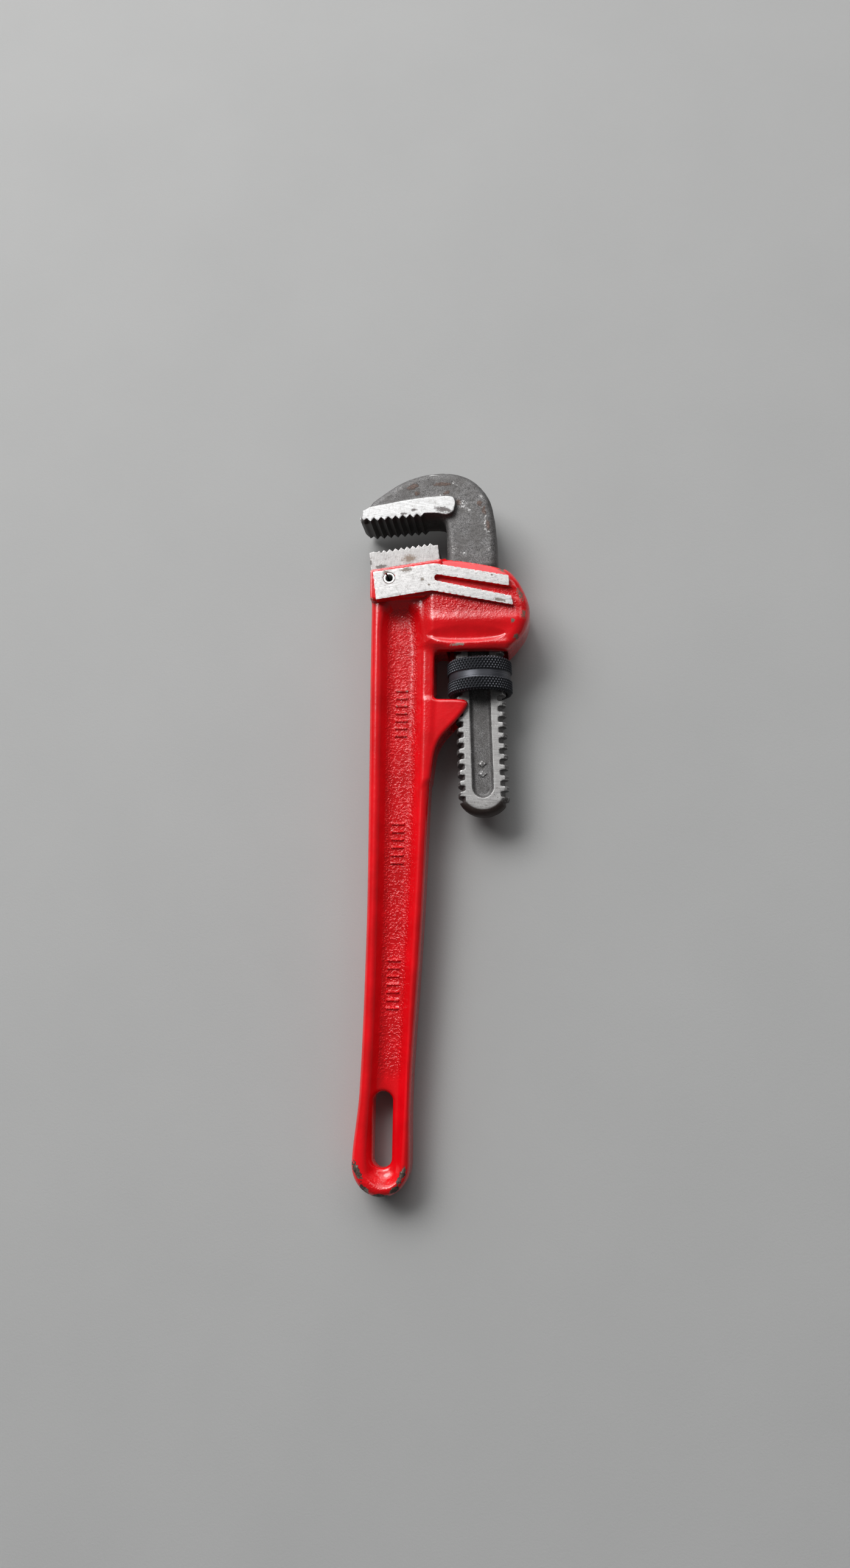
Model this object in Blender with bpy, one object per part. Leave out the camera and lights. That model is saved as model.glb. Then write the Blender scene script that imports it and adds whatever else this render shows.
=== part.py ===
"""A straight pipe wrench of the 350 mm (14 in) size, lying on its side with its jaws part open.

+Y runs along the handle to the jaws, +X from the jaws' mouth to the back of the head, and +Z is up.
The origin is under the middle of the wrench, on the surface that it lies on. Sizes here are in
millimetres in the wrench's own X and Y, where X is 0 near the handle's front edge, Y is 0 near its
hanging end and Z is 0 at mid-thickness. place() turns them into metres in the part's frame.

It comes apart into a cast handle, a heel jaw with its roll pin, a hook jaw with a threaded shank,
a knurled adjusting nut, and a flat spring and a coil spring inside the head.
"""

import math

import bmesh
import bpy
from mathutils import Vector

MM = 0.001

# The whole wrench.
NOSE_X = -6.4
REAR_X = 68.8
HANGING_END_Y = 0.9
HOOK_TOP_Y = 309.4
GAP = 0.3

# The handle's grip, a bar with a recess down each side and a hanging slot at its end.
GRIP_HALF = 8.2
GRIP_RIM = 3.6
WEB_HALF = 3.3
RECESS_SLOPE = 4.2
LOOP_CENTRE = (8.8, 13.4)
LOOP_RADII = (12.0, 12.5)
SLOT_CENTRE_X = 9.1
SLOT_RADIUS = 3.9
SLOT_ENDS_Y = (11.3, 42.2)

# The handle's head, a loop that the shank runs through, with ground side faces.
WINDOW_FRONT_X = 27.7
WINDOW_TOP_Y = 227.6
HEAD_HALF = 12.0
HEAD_RIM = 4.5
CHEEK_HALF = 11.2
FORK_HALF = 13.2
LUG_CHANNEL_HALF = 6.4
LUG_CHANNEL_CLEARANCE = 2.0

# The shank's axis leans towards the mouth, and passes the handle's side at AXIS_FOOT.
AXIS_FOOT = (49.1, 169.0)
AXIS_LEAN = math.radians(2.5)
THREAD_PITCH = 4.618
THREAD_CREST = 11.0
THREAD_ROOT = 9.25
TOOTH_CREST = 1.75
TOOTH_FLANK = 0.4
THREAD_PHASE = -1.77
TURNS_BELOW = 4
TURNS_ABOVE = 18
FLAT_HALF = 5.55
SHANK_END = -12.2
SHANK_END_RADII = (11.6, 11.0)
SHANK_PLAIN_FROM = 74.0
SHANK_PLAIN_FRONT = -12.1
SHANK_PLAIN_REAR = 9.8
SHANK_PLAIN_HALF = 6.3
GROOVE_HALF = 4.6
GROOVE_DEPTH = 1.5
GROOVE_END = -4.6
BORE_FRONT = -12.45
BORE_REAR = 12.4
BORE_HALF = 8.9
BORE_FLARE = 1.15

# The adjusting nut, from NUT_BOTTOM to NUT_BOTTOM + NUT_HEIGHT along the shank's axis.
NUT_RADIUS = 14.1
NUT_HEIGHT = 14.6
NUT_BOTTOM = 40.75
NUT_CHAMFER = 0.7
NUT_GROOVE_WIDTH = 3.0
NUT_GROOVE_DEPTH = 0.9

# The heel jaw, a toothed block whose teeth start at HEEL_CORNER and rise to the right.
HEEL_CORNER = (-1.7, 272.9)
HEEL_LEAN = math.radians(7.4)
HEEL_LENGTH = 30.5
HEEL_HEIGHT = 18.7
HEEL_HALF = 9.0
HEEL_TOOTH_PITCH = 2.57
HEEL_TOOTH_DEPTH = 1.3
HEEL_FLAT_START = 5.3
PIN_CENTRE = (8.1, 259.3)
PIN_RADIUS = 2.5
PIN_WALL = 0.9
PIN_HALF_LENGTH = 12.6
PIN_HOLE_RADIUS = 2.8

# The hook jaw's toothed block and its back.
HOOK_BLOCK_HALF = 11.0
HOOK_BACK_HALF = 8.6
HOOK_RIM = 2.8
HOOK_TOOTH_PITCH = 3.17
HOOK_TOOTH_DEPTH = 1.6
HOOK_TEETH_FROM = (-2.6, 285.9)
HOOK_TEETH_SLOPE = math.radians(4.2)
HOOK_TEETH = 8

# The springs between the front of the head's bore and the shank, along and across the shank's axis.
LEAF_SPAN = (62.5, 82.0)
LEAF_THICKNESS = 0.8
LEAF_BOW = 0.35
LEAF_BACK = -12.65
LEAF_HALF = 4.5
RELIEF_DEPTH = 2.7
COIL_AT = 72.3
COIL_RADIUS = 3.0
COIL_WIRE = 0.6
COIL_TURNS = 4.5
COIL_FAR_END = -20.9
COIL_POCKET_RADIUS = 4.1
COIL_POCKET_BOTTOM = -21.9

CENTRE_X = (NOSE_X + REAR_X) / 2
CENTRE_Y = (HANGING_END_Y + HOOK_TOP_Y) / 2
ROUND_STEPS = 48


def place(x, y, z):
    """A point of the wrench in millimetres, as metres in the part's frame."""
    return Vector((x - CENTRE_X, y - CENTRE_Y, z + NUT_RADIUS)) * MM


def on_axis(across, along):
    """X and Y of a point that lies across the shank's axis, rearwards, and along it from AXIS_FOOT."""
    lean = Vector((-math.sin(AXIS_LEAN), math.cos(AXIS_LEAN)))
    side = Vector((math.cos(AXIS_LEAN), math.sin(AXIS_LEAN)))
    return tuple(Vector(AXIS_FOOT) + side * across + lean * along)


def on_heel(along, up):
    """X and Y of a point along the heel jaw's line of teeth, and up from it."""
    side = Vector((math.cos(HEEL_LEAN), math.sin(HEEL_LEAN)))
    rise = Vector((-math.sin(HEEL_LEAN), math.cos(HEEL_LEAN)))
    return tuple(Vector(HEEL_CORNER) + side * along + rise * up)


def arc(centre, radii, start, end, steps):
    """Points on an ellipse's arc from start to end, in degrees."""
    points = []
    for step in range(steps + 1):
        angle = math.radians(start + (end - start) * step / steps)
        x = centre[0] + radii[0] * math.cos(angle)
        points.append((x, centre[1] + radii[1] * math.sin(angle)))
    return points


def shrunk(outline, distance):
    """The outline, counter-clockwise, with each corner moved inwards by distance from both its sides."""
    points = [Vector(point) for point in outline]
    moved = []
    for index, here in enumerate(points):
        before = (here - points[index - 1]).normalized()
        after = (points[(index + 1) % len(points)] - here).normalized()
        inwards = Vector((-before.y - after.y, before.x + after.x))
        moved.append(tuple(here + inwards * distance / (1 + before.dot(after))))
    return moved


def material(name, colour, roughness, metallic):
    made = bpy.data.materials.new(name)
    made.use_nodes = True
    shader = made.node_tree.nodes["Principled BSDF"]
    shader.inputs["Base Color"].default_value = (*colour, 1)
    shader.inputs["Roughness"].default_value = roughness
    shader.inputs["Metallic"].default_value = metallic
    return made


def make_object(name, mesh):
    """An object from a bmesh, with its faces pointing out and smooth shading between sharp edges."""
    bmesh.ops.recalc_face_normals(mesh, faces=mesh.faces)
    data = bpy.data.meshes.new(name)
    mesh.to_mesh(data)
    mesh.free()
    data.shade_smooth()
    data.set_sharp_from_angle(angle=math.radians(35))
    made = bpy.data.objects.new(name, data)
    bpy.context.collection.objects.link(made)
    return made


def loft(name, rings):
    """A closed solid through rings of points that all have the same count, capped at both ends."""
    mesh = bmesh.new()
    rows = [[mesh.verts.new(place(*point)) for point in ring] for ring in rings]
    for lower, upper in zip(rows, rows[1:]):
        for index in range(len(lower)):
            after = (index + 1) % len(lower)
            mesh.faces.new((lower[index], lower[after], upper[after], upper[index]))
    mesh.faces.new(reversed(rows[0]))
    mesh.faces.new(rows[-1])
    return make_object(name, mesh)


def prism(name, outline, half, rim=0.0, rim_steps=2):
    """An outline in X and Y made into a plate from -half to half, with both its rims rounded."""
    if not rim:
        return loft(name, [[(x, y, z) for x, y in outline] for z in (-half, half)])
    rings = []
    for side in (-1, 1):
        steps = range(rim_steps + 1)
        for step in steps if side < 0 else reversed(steps):
            angle = math.pi / 2 * step / rim_steps
            inset = rim * (1 - math.sin(angle))
            height = half - rim + rim * math.cos(angle)
            rings.append([(x, y, side * height) for x, y in shrunk(outline, inset)])
    return loft(name, rings)


def bar(name, across, along, half, turn=on_axis):
    """A rectangular bar between two places across and two places along a leaning axis."""
    corners = [(0, 0), (1, 0), (1, 1), (0, 1)]
    return prism(name, [turn(across[i], along[j]) for i, j in corners], half)


def combine(target, helper, operation):
    """Adds a Boolean to target, and hides the helper object that it works with."""
    helper.hide_render = True
    helper.display_type = "WIRE"
    helper.hide_set(True)
    boolean = target.modifiers.new(f"{operation.lower()}_{helper.name}", "BOOLEAN")
    boolean.operation = operation
    boolean.object = helper


def around_axis(radius, angle, along):
    """A point at a radius from the shank's axis, its angle turning right-handed about the axis from +Z."""
    x, y = on_axis(radius * math.sin(angle), along)
    return x, y, radius * math.cos(angle)


def helical_thread(name, root, crest, crest_width, flank, first, last):
    """A closed right-hand screw about the shank's axis, its rows of points following the helix.

    Its teeth are the shank's own, from number first to number last, counted from THREAD_PHASE.
    """
    tooth = [
        (-crest_width / 2 - flank, root),
        (-crest_width / 2, crest),
        (crest_width / 2, crest),
        (crest_width / 2 + flank, root),
    ]
    starts = [THREAD_PHASE + turn * THREAD_PITCH for turn in range(first, last + 1)]
    profile = [(start + at, radius) for start in starts for at, radius in tooth]
    mesh = bmesh.new()
    columns = []
    for step in range(ROUND_STEPS):
        angle = 2 * math.pi * step / ROUND_STEPS
        lead = THREAD_PITCH * step / ROUND_STEPS
        columns.append([mesh.verts.new(place(*around_axis(r, angle, at + lead))) for at, r in profile])
    # One turn on, each row of the first column meets the row one tooth further up.
    columns.append(columns[0][len(tooth) :])
    for here, after in zip(columns, columns[1:]):
        for row in range(len(profile) - len(tooth) - 1):
            mesh.faces.new((here[row], after[row], after[row + 1], here[row + 1]))
    top = len(profile) - len(tooth) - 1
    low = [column[0] for column in columns[:-1]] + columns[0][len(tooth) : 0 : -1]
    high = [column[top] for column in columns[:-1]] + columns[0][top + len(tooth) : top : -1]
    for rim, middle in ((low, profile[0][0]), (high, profile[-1][0])):
        hub = mesh.verts.new(place(*around_axis(0, 0, middle)))
        for index in range(len(rim)):
            mesh.faces.new((rim[index], rim[(index + 1) % len(rim)], hub))
    return make_object(name, mesh)


def grip_outline():
    right_side = [
        (20.8, 19.0), (20.5, 40.0), (21.5, 62.0), (22.6, 80.0), (24.2, 110.0), (25.3, 140.0),
        (25.9, 160.0), (26.8, 174.0), (28.4, 185.5), (31.0, 190.4),
    ]
    lug = [(37.6, 197.6), (40.9, 201.7), (42.5, 204.6), (41.9, 206.2), (40.2, 206.8)]
    window_wall = [(29.6, 207.0), (28.2, 207.7), (WINDOW_FRONT_X, 209.4), (WINDOW_FRONT_X, 252.0)]
    front_edge = [
        (-0.5, 252.0), (-0.3, 215.0), (0.3, 165.0), (0.7, 120.0), (0.45, 90.0), (-0.1, 60.0),
        (-0.85, 39.0), (-1.9, 29.0), (-3.0, 19.0),
    ]
    return arc(LOOP_CENTRE, LOOP_RADII, 180, 360, 14) + right_side + lug + window_wall + front_edge


def recess_outline():
    """The recess in one side of the grip, where it meets the flanges' crests."""
    right_side = [
        (16.4, 54.0), (17.6, 62.0), (19.4, 85.0), (20.8, 112.0), (21.9, 145.0), (22.6, 175.0),
        (22.9, 200.0), (22.9, 229.0), (21.6, 239.0), (19.0, 245.0), (15.0, 248.0),
    ]
    left_side = [(9.0, 248.0), (5.4, 244.5), (4.2, 238.0), (4.2, 110.0), (4.3, 75.0), (5.2, 54.0), (10.8, 50.5)]
    return right_side + left_side


def head_outline():
    underside = [(23.0, 231.5), (28.0, WINDOW_TOP_Y), (59.5, WINDOW_TOP_Y)]
    rear = [
        (63.2, 231.4), (67.0, 236.4), (68.5, 241.3), (REAR_X, 245.5), (68.1, 249.5),
        (66.4, 253.6), (63.9, 258.3), (60.6, 263.4),
    ]
    top = [(55.4, 266.3), (48.8, 268.0), (40.6, 269.5), (30.9, 270.5)]
    return underside + rear + top + [(26.0, 266.0), (21.5, 250.0)]


def fork_outline():
    """The ground face: a plate over the heel jaw that splits into two prongs towards the back."""
    slot_end = arc((29.1, 259.2), (1.4, 1.4), 75, 255, 6)
    upper_prong = [(27.5, 265.7), slot_end[0]]
    ends = [(60.0, 255.0), (59.6, 259.7)]
    return (
        [(2.5, 249.8), (26.7, 253.5), (61.8, 246.5), (60.8, 250.6)]
        + list(reversed(slot_end))
        + ends
        + [upper_prong[0], (0.9, 262.3)]
    )


def cut_spring_seats(handle):
    """The relief that the flat spring lies in, and the pocket that the coil spring stands in."""
    low, high = LEAF_SPAN[0] - 1.2, LEAF_SPAN[1] + 1.2
    relief = bar("relief_cutter", (BORE_FRONT - RELIEF_DEPTH, BORE_FRONT + 2), (low, high), LEAF_HALF + 0.5)
    combine(handle, relief, "DIFFERENCE")
    rings = []
    for across in (COIL_POCKET_BOTTOM, BORE_FRONT + 1):
        ring = []
        for step in range(20):
            angle = 2 * math.pi * step / 20
            x, y = on_axis(across, COIL_AT + COIL_POCKET_RADIUS * math.cos(angle))
            ring.append((x, y, COIL_POCKET_RADIUS * math.sin(angle)))
        rings.append(ring)
    combine(handle, loft("coil_pocket_cutter", rings), "DIFFERENCE")


def make_handle(paint):
    handle = prism("handle", grip_outline(), GRIP_HALF, GRIP_RIM, 3)
    handle.data.materials.append(paint)
    combine(handle, prism("head_blank", head_outline(), HEAD_HALF, HEAD_RIM, 3), "UNION")
    cheeks = [(-0.4, 250.6), (23.0, 251.5), (30.6, 255.0), (30.6, 268.4), (-0.6, 263.9)]
    combine(handle, prism("cheek_blank", cheeks, CHEEK_HALF, 0.6, 1), "UNION")
    combine(handle, prism("fork_blank", fork_outline(), FORK_HALF, 0.25, 1), "UNION")
    for side in (-1, 1):
        outer = recess_outline()
        ring_heights = ((shrunk(outer, RECESS_SLOPE), WEB_HALF), (outer, GRIP_HALF + 0.3))
        rings = [[(x, y, side * z) for x, y in ring] for ring, z in ring_heights]
        combine(handle, loft(f"recess_cutter_{side + 2}", rings), "DIFFERENCE")
    radii = (SLOT_RADIUS, SLOT_RADIUS)
    low, high = SLOT_ENDS_Y[0] + SLOT_RADIUS, SLOT_ENDS_Y[1] - SLOT_RADIUS
    slot = arc((SLOT_CENTRE_X, low), radii, 180, 360, 8) + arc((SLOT_CENTRE_X, high), radii, 0, 180, 8)
    combine(handle, prism("hanging_slot_cutter", slot, GRIP_HALF + 1), "DIFFERENCE")
    # Below the top of the head the bore's front flares away from the shank, which leaves it room to rock.
    front = [(BORE_FRONT, 110), (BORE_FRONT, 99), (BORE_FRONT - BORE_FLARE, 55)]
    bore = [on_axis(*corner) for corner in [*front, (BORE_REAR, 55), (BORE_REAR, 110)]]
    combine(handle, prism("bore_cutter", bore, BORE_HALF), "DIFFERENCE")
    channel_front = -THREAD_CREST - LUG_CHANNEL_CLEARANCE
    channel = bar("lug_channel_cutter", (channel_front, 25), (14, 40), LUG_CHANNEL_HALF)
    combine(handle, channel, "DIFFERENCE")
    slot_span = ((-6, HEEL_LENGTH + GAP), (-HEEL_HEIGHT - GAP, 8))
    combine(handle, bar("heel_slot_cutter", *slot_span, HEEL_HALF + GAP, on_heel), "DIFFERENCE")
    hole = arc(PIN_CENTRE, (PIN_HOLE_RADIUS, PIN_HOLE_RADIUS), 0, 345, 23)
    combine(handle, prism("pin_hole_cutter", hole, FORK_HALF + 1), "DIFFERENCE")
    cut_spring_seats(handle)
    return handle


def saw_teeth(start, slope, pitch, depth, count):
    """Valleys and tips of a row of pointed teeth that stand away from depth, from start along slope."""
    side = Vector((math.cos(slope), math.sin(slope)))
    up = Vector((-math.sin(slope), math.cos(slope)))
    points = []
    for tooth in range(count):
        points.append(tuple(Vector(start) + side * pitch * tooth + up * depth))
        points.append(tuple(Vector(start) + side * pitch * (tooth + 0.5)))
    points.append(tuple(Vector(start) + side * pitch * count + up * depth))
    return points


def make_heel_jaw(steel):
    count = int((HEEL_LENGTH - HEEL_FLAT_START) / HEEL_TOOTH_PITCH)
    first = on_heel(HEEL_FLAT_START, 0)
    teeth = saw_teeth(first, HEEL_LEAN, HEEL_TOOTH_PITCH, -HEEL_TOOTH_DEPTH, count)
    foot = [on_heel(0, -HEEL_HEIGHT), on_heel(HEEL_LENGTH, -HEEL_HEIGHT)]
    shoulder = [on_heel(HEEL_LENGTH, -HEEL_TOOTH_DEPTH)]
    worn_end = [on_heel(HEEL_FLAT_START - 0.6, -0.1), on_heel(0, -0.1)]
    jaw = prism("heel_jaw", foot + shoulder + list(reversed(teeth)) + worn_end, HEEL_HALF)
    jaw.data.materials.append(steel)
    hole = arc(PIN_CENTRE, (PIN_HOLE_RADIUS, PIN_HOLE_RADIUS), 0, 345, 23)
    combine(jaw, prism("heel_pin_hole_cutter", hole, HEEL_HALF + 1), "DIFFERENCE")


def make_heel_jaw_pin(steel):
    """A roll pin, a sheet curled round until a narrow gap is left along its top."""
    outer = arc(PIN_CENTRE, (PIN_RADIUS, PIN_RADIUS), 108, 432, 24)
    bore = PIN_RADIUS - PIN_WALL
    inner = arc(PIN_CENTRE, (bore, bore), 432 - 8, 108 + 8, 24)
    pin = prism("heel_jaw_pin", outer + inner, PIN_HALF_LENGTH)
    pin.data.materials.append(steel)


def hook_back_outline():
    """The hook jaw's side outline, from its plain shank up round its back to the nose."""
    shank = [
        on_axis(SHANK_PLAIN_FRONT, SHANK_PLAIN_FROM),
        on_axis(SHANK_PLAIN_REAR, SHANK_PLAIN_FROM),
        on_axis(SHANK_PLAIN_REAR, 103),
    ]
    back = [
        (54.1, 280.0), (53.2, 288.0), (51.5, 295.4), (49.3, 299.5), (46.9, 302.4), (43.7, 305.4),
        (40.2, 307.4), (36.2, 308.8), (32.0, HOOK_TOP_Y), (27.8, HOOK_TOP_Y), (23.8, 309.1),
        (19.7, 308.3), (15.6, 307.0), (11.5, 305.2), (7.4, 302.7), (3.3, 299.8), (-1.0, 296.6),
    ]
    throat = [(-2.6, 294.2), (-2.6, 288.2), (20.0, 289.2), (28.5, 288.6), (31.4, 286.2), (32.2, 282.6)]
    return shank + back + throat


def hook_block_outline():
    """The toothed block of the hook jaw, with its teeth facing the heel jaw."""
    teeth = saw_teeth(HOOK_TEETH_FROM, HOOK_TEETH_SLOPE, HOOK_TOOTH_PITCH, HOOK_TOOTH_DEPTH, HOOK_TEETH)
    rear = [(32.0, 288.2), (35.6, 289.5), (36.3, 294.3), (35.5, 296.7)]
    top = [(24.6, 296.7), (15.0, 295.8), (-4.0, 292.6)]
    return [*teeth, *rear, *top, (-4.9, 291.2), (-4.9, 287.6), (-4.1, 286.5)]


def make_hook_jaw(iron):
    jaw = prism("hook_jaw", hook_back_outline(), HOOK_BACK_HALF, HOOK_RIM, 2)
    jaw.data.materials.append(iron)
    keep = bar("shank_keep", (-40, 40), (60, 108), SHANK_PLAIN_HALF)
    head_keep = bar("head_keep", (-90, 60), (106, 200), HOOK_BACK_HALF + 1)
    combine(keep, head_keep, "UNION")
    combine(jaw, keep, "INTERSECT")
    combine(jaw, prism("tooth_block", hook_block_outline(), HOOK_BLOCK_HALF), "UNION")
    nose = arc((NOSE_X + 3.0, 289.2), (3.0, 2.2), 90, 270, 6) + [(-1.0, 287.4), (-1.0, 291.4)]
    combine(jaw, prism("nose_blank", nose, HOOK_BLOCK_HALF - 6), "UNION")
    tooth = (THREAD_ROOT, THREAD_CREST, TOOTH_CREST, TOOTH_FLANK)
    thread = helical_thread("shank_thread", *tooth, -TURNS_BELOW, TURNS_ABOVE)
    end_centre = SHANK_END + SHANK_END_RADII[1]
    tip = [on_axis(x, y) for x, y in arc((0, end_centre), SHANK_END_RADII, 180, 360, 16)]
    slab = tip + [on_axis(11.6, SHANK_PLAIN_FROM + 1), on_axis(-11.6, SHANK_PLAIN_FROM + 1)]
    combine(thread, prism("shank_slab", slab, FLAT_HALF), "INTERSECT")
    combine(jaw, thread, "UNION")
    centre_line = arc((0, GROOVE_END + GROOVE_HALF), (GROOVE_HALF, GROOVE_HALF), 180, 360, 10)
    groove = [on_axis(*point) for point in centre_line]
    groove += [on_axis(GROOVE_HALF, SHANK_PLAIN_FROM - 4), on_axis(-GROOVE_HALF, SHANK_PLAIN_FROM - 4)]
    floor = FLAT_HALF - GROOVE_DEPTH
    for side in (-1, 1):
        heights = ((shrunk(groove, 1.2), floor), (shrunk(groove, -0.3), FLAT_HALF + 0.3))
        rings = [[(x, y, side * z) for x, y in ring] for ring, z in heights]
        combine(jaw, loft(f"groove_cutter_{side + 2}", rings), "DIFFERENCE")


def make_adjusting_nut(steel):
    middle = NUT_BOTTOM + NUT_HEIGHT / 2
    top = NUT_BOTTOM + NUT_HEIGHT
    groove_radius = NUT_RADIUS - NUT_GROOVE_DEPTH
    profile = [
        (NUT_BOTTOM, NUT_RADIUS - NUT_CHAMFER),
        (NUT_BOTTOM + NUT_CHAMFER, NUT_RADIUS),
        (middle - NUT_GROOVE_WIDTH / 2, NUT_RADIUS),
        (middle - NUT_GROOVE_WIDTH / 2 + 0.3, groove_radius),
        (middle + NUT_GROOVE_WIDTH / 2 - 0.3, groove_radius),
        (middle + NUT_GROOVE_WIDTH / 2, NUT_RADIUS),
        (top - NUT_CHAMFER, NUT_RADIUS),
        (top, NUT_RADIUS - NUT_CHAMFER),
    ]
    angles = [2 * math.pi * step / ROUND_STEPS for step in range(ROUND_STEPS)]
    rings = [[around_axis(radius, angle, along) for angle in angles] for along, radius in profile]
    nut = loft("adjusting_nut", rings)
    nut.data.materials.append(steel)
    tooth = (THREAD_ROOT + GAP, THREAD_CREST + GAP, TOOTH_CREST + 2 * GAP, TOOTH_FLANK)
    first = math.floor((NUT_BOTTOM - THREAD_PHASE) / THREAD_PITCH) - 2
    last = math.ceil((top - THREAD_PHASE) / THREAD_PITCH) + 2
    cavity = helical_thread("nut_thread_cutter", *tooth, first, last)
    combine(nut, cavity, "DIFFERENCE")


def make_flat_spring(steel):
    """A bowed strip whose ends press on the head, and whose middle presses on the shank."""
    steps = 6
    back, front = [], []
    for step in range(steps + 1):
        part = step / steps
        along = LEAF_SPAN[0] + (LEAF_SPAN[1] - LEAF_SPAN[0]) * part
        across = LEAF_BACK - LEAF_BOW * (2 * part - 1) ** 2
        back.append(on_axis(across, along))
        front.append(on_axis(across - LEAF_THICKNESS, along))
    leaf = prism("flat_spring", back + list(reversed(front)), LEAF_HALF)
    leaf.data.materials.append(steel)


def make_coil_spring(steel):
    """A helix of wire across the shank's axis, from the bottom of its pocket to the flat spring."""
    near_end = LEAF_BACK - LEAF_THICKNESS - LEAF_BOW - GAP - COIL_WIRE
    steps = int(COIL_TURNS * 12)
    curve = bpy.data.curves.new("coil_spring", "CURVE")
    curve.dimensions = "3D"
    curve.bevel_depth = COIL_WIRE * MM
    curve.bevel_resolution = 2
    curve.use_fill_caps = True
    line = curve.splines.new("POLY")
    line.points.add(steps)
    for step in range(steps + 1):
        angle = 2 * math.pi * COIL_TURNS * step / steps
        across = COIL_FAR_END + (near_end - COIL_FAR_END) * step / steps
        x, y = on_axis(across, COIL_AT + COIL_RADIUS * math.cos(angle))
        line.points[step].co = (*place(x, y, COIL_RADIUS * math.sin(angle)), 1)
    spring = bpy.data.objects.new("coil_spring", curve)
    spring.data.materials.append(steel)
    bpy.context.collection.objects.link(spring)


def set_origin(name, across, along):
    """Moves an object's origin onto the shank's axis without moving its shape."""
    moved = bpy.data.objects[name]
    origin = place(*on_axis(across, along), 0)
    for vertex in moved.data.vertices:
        vertex.co -= origin
    moved.location = origin


def main():
    for existing in list(bpy.data.objects):
        bpy.data.objects.remove(existing)
    make_handle(material("red_enamel", (0.72, 0.012, 0.012), 0.28, 0.0))
    make_heel_jaw(material("ground_steel", (0.62, 0.60, 0.57), 0.38, 1.0))
    make_heel_jaw_pin(material("pin_steel", (0.48, 0.47, 0.45), 0.35, 1.0))
    make_hook_jaw(material("forged_steel", (0.17, 0.165, 0.16), 0.5, 0.9))
    make_adjusting_nut(material("black_oxide", (0.035, 0.037, 0.042), 0.42, 0.85))
    make_flat_spring(material("spring_steel", (0.30, 0.31, 0.33), 0.35, 1.0))
    make_coil_spring(bpy.data.materials["spring_steel"])
    set_origin("adjusting_nut", 0, NUT_BOTTOM + NUT_HEIGHT / 2)


main()
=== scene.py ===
"""The looks of a straight pipe wrench that lies on a pale floor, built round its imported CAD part.

Each visible piece is one closed mesh made from a distance field: a function that gives how far a point
is outside the piece, with its edges rounded and its fillets blended as a casting's or a forging's are.
Sizes are millimetres in the wrench's own X and Y, as in the part's source: X is 0 near the handle's
front edge, Y is 0 near its hanging end and Z is 0 at mid-thickness. The frame says where that is.
"""

import math

import bpy
import numpy as np
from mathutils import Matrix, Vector


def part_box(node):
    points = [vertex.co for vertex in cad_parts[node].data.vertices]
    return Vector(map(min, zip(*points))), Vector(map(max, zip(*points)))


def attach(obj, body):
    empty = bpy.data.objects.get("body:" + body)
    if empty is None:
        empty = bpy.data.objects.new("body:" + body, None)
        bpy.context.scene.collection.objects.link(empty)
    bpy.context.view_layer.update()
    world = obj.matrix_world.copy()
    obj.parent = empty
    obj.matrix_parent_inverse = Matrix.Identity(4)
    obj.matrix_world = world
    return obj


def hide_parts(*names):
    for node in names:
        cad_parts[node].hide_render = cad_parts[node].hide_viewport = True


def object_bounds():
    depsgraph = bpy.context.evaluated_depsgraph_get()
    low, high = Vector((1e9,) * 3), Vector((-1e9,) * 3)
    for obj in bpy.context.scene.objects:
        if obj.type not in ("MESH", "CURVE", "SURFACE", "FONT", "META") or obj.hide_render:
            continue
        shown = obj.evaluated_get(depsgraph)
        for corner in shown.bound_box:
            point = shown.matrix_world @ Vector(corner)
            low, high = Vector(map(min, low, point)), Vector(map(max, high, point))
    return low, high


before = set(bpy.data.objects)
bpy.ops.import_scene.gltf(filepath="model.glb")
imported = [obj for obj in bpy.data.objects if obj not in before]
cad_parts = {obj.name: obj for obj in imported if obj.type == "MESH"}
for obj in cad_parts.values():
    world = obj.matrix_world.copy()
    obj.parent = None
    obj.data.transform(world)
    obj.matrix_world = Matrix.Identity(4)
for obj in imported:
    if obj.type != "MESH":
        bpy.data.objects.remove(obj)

MM = 0.001
CAD_LOW, CAD_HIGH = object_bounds()

# Where the CAD box lies in the wrench's own millimetres.
NOSE_X = -6.4
HANGING_END_Y = 0.9
ORIGIN = np.array(
    [
        CAD_LOW.x / MM - NOSE_X,
        CAD_LOW.y / MM - HANGING_END_Y,
        (CAD_LOW.z + CAD_HIGH.z) / 2 / MM,
    ]
)

# The handle's grip.
GRIP_HALF = 8.2
GRIP_RIM = 3.6
WINDOW_RIM = 1.4
LUG_RIM = 1.5
WEB_HALF = 3.3
RECESS_RUN = 4.2
SLOT_CENTRE_X = 9.0
SLOT_RADIUS = 3.9
SLOT_ENDS_Y = (11.9, 42.4)

# The handle's head.
HEAD_HALF = 11.7
HEAD_RIM_LOW = 2.8
HEAD_RIM_REAR = 6.0
HEAD_RIM_TOP = 3.5
CHEEK_HALF = 11.2
FORK_HALF = 13.2
FORK_SLOT_FLOOR = 10.7
LUG_CHANNEL_HALF = 6.4
LUG_CHANNEL_FRONT = -13.0

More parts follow.
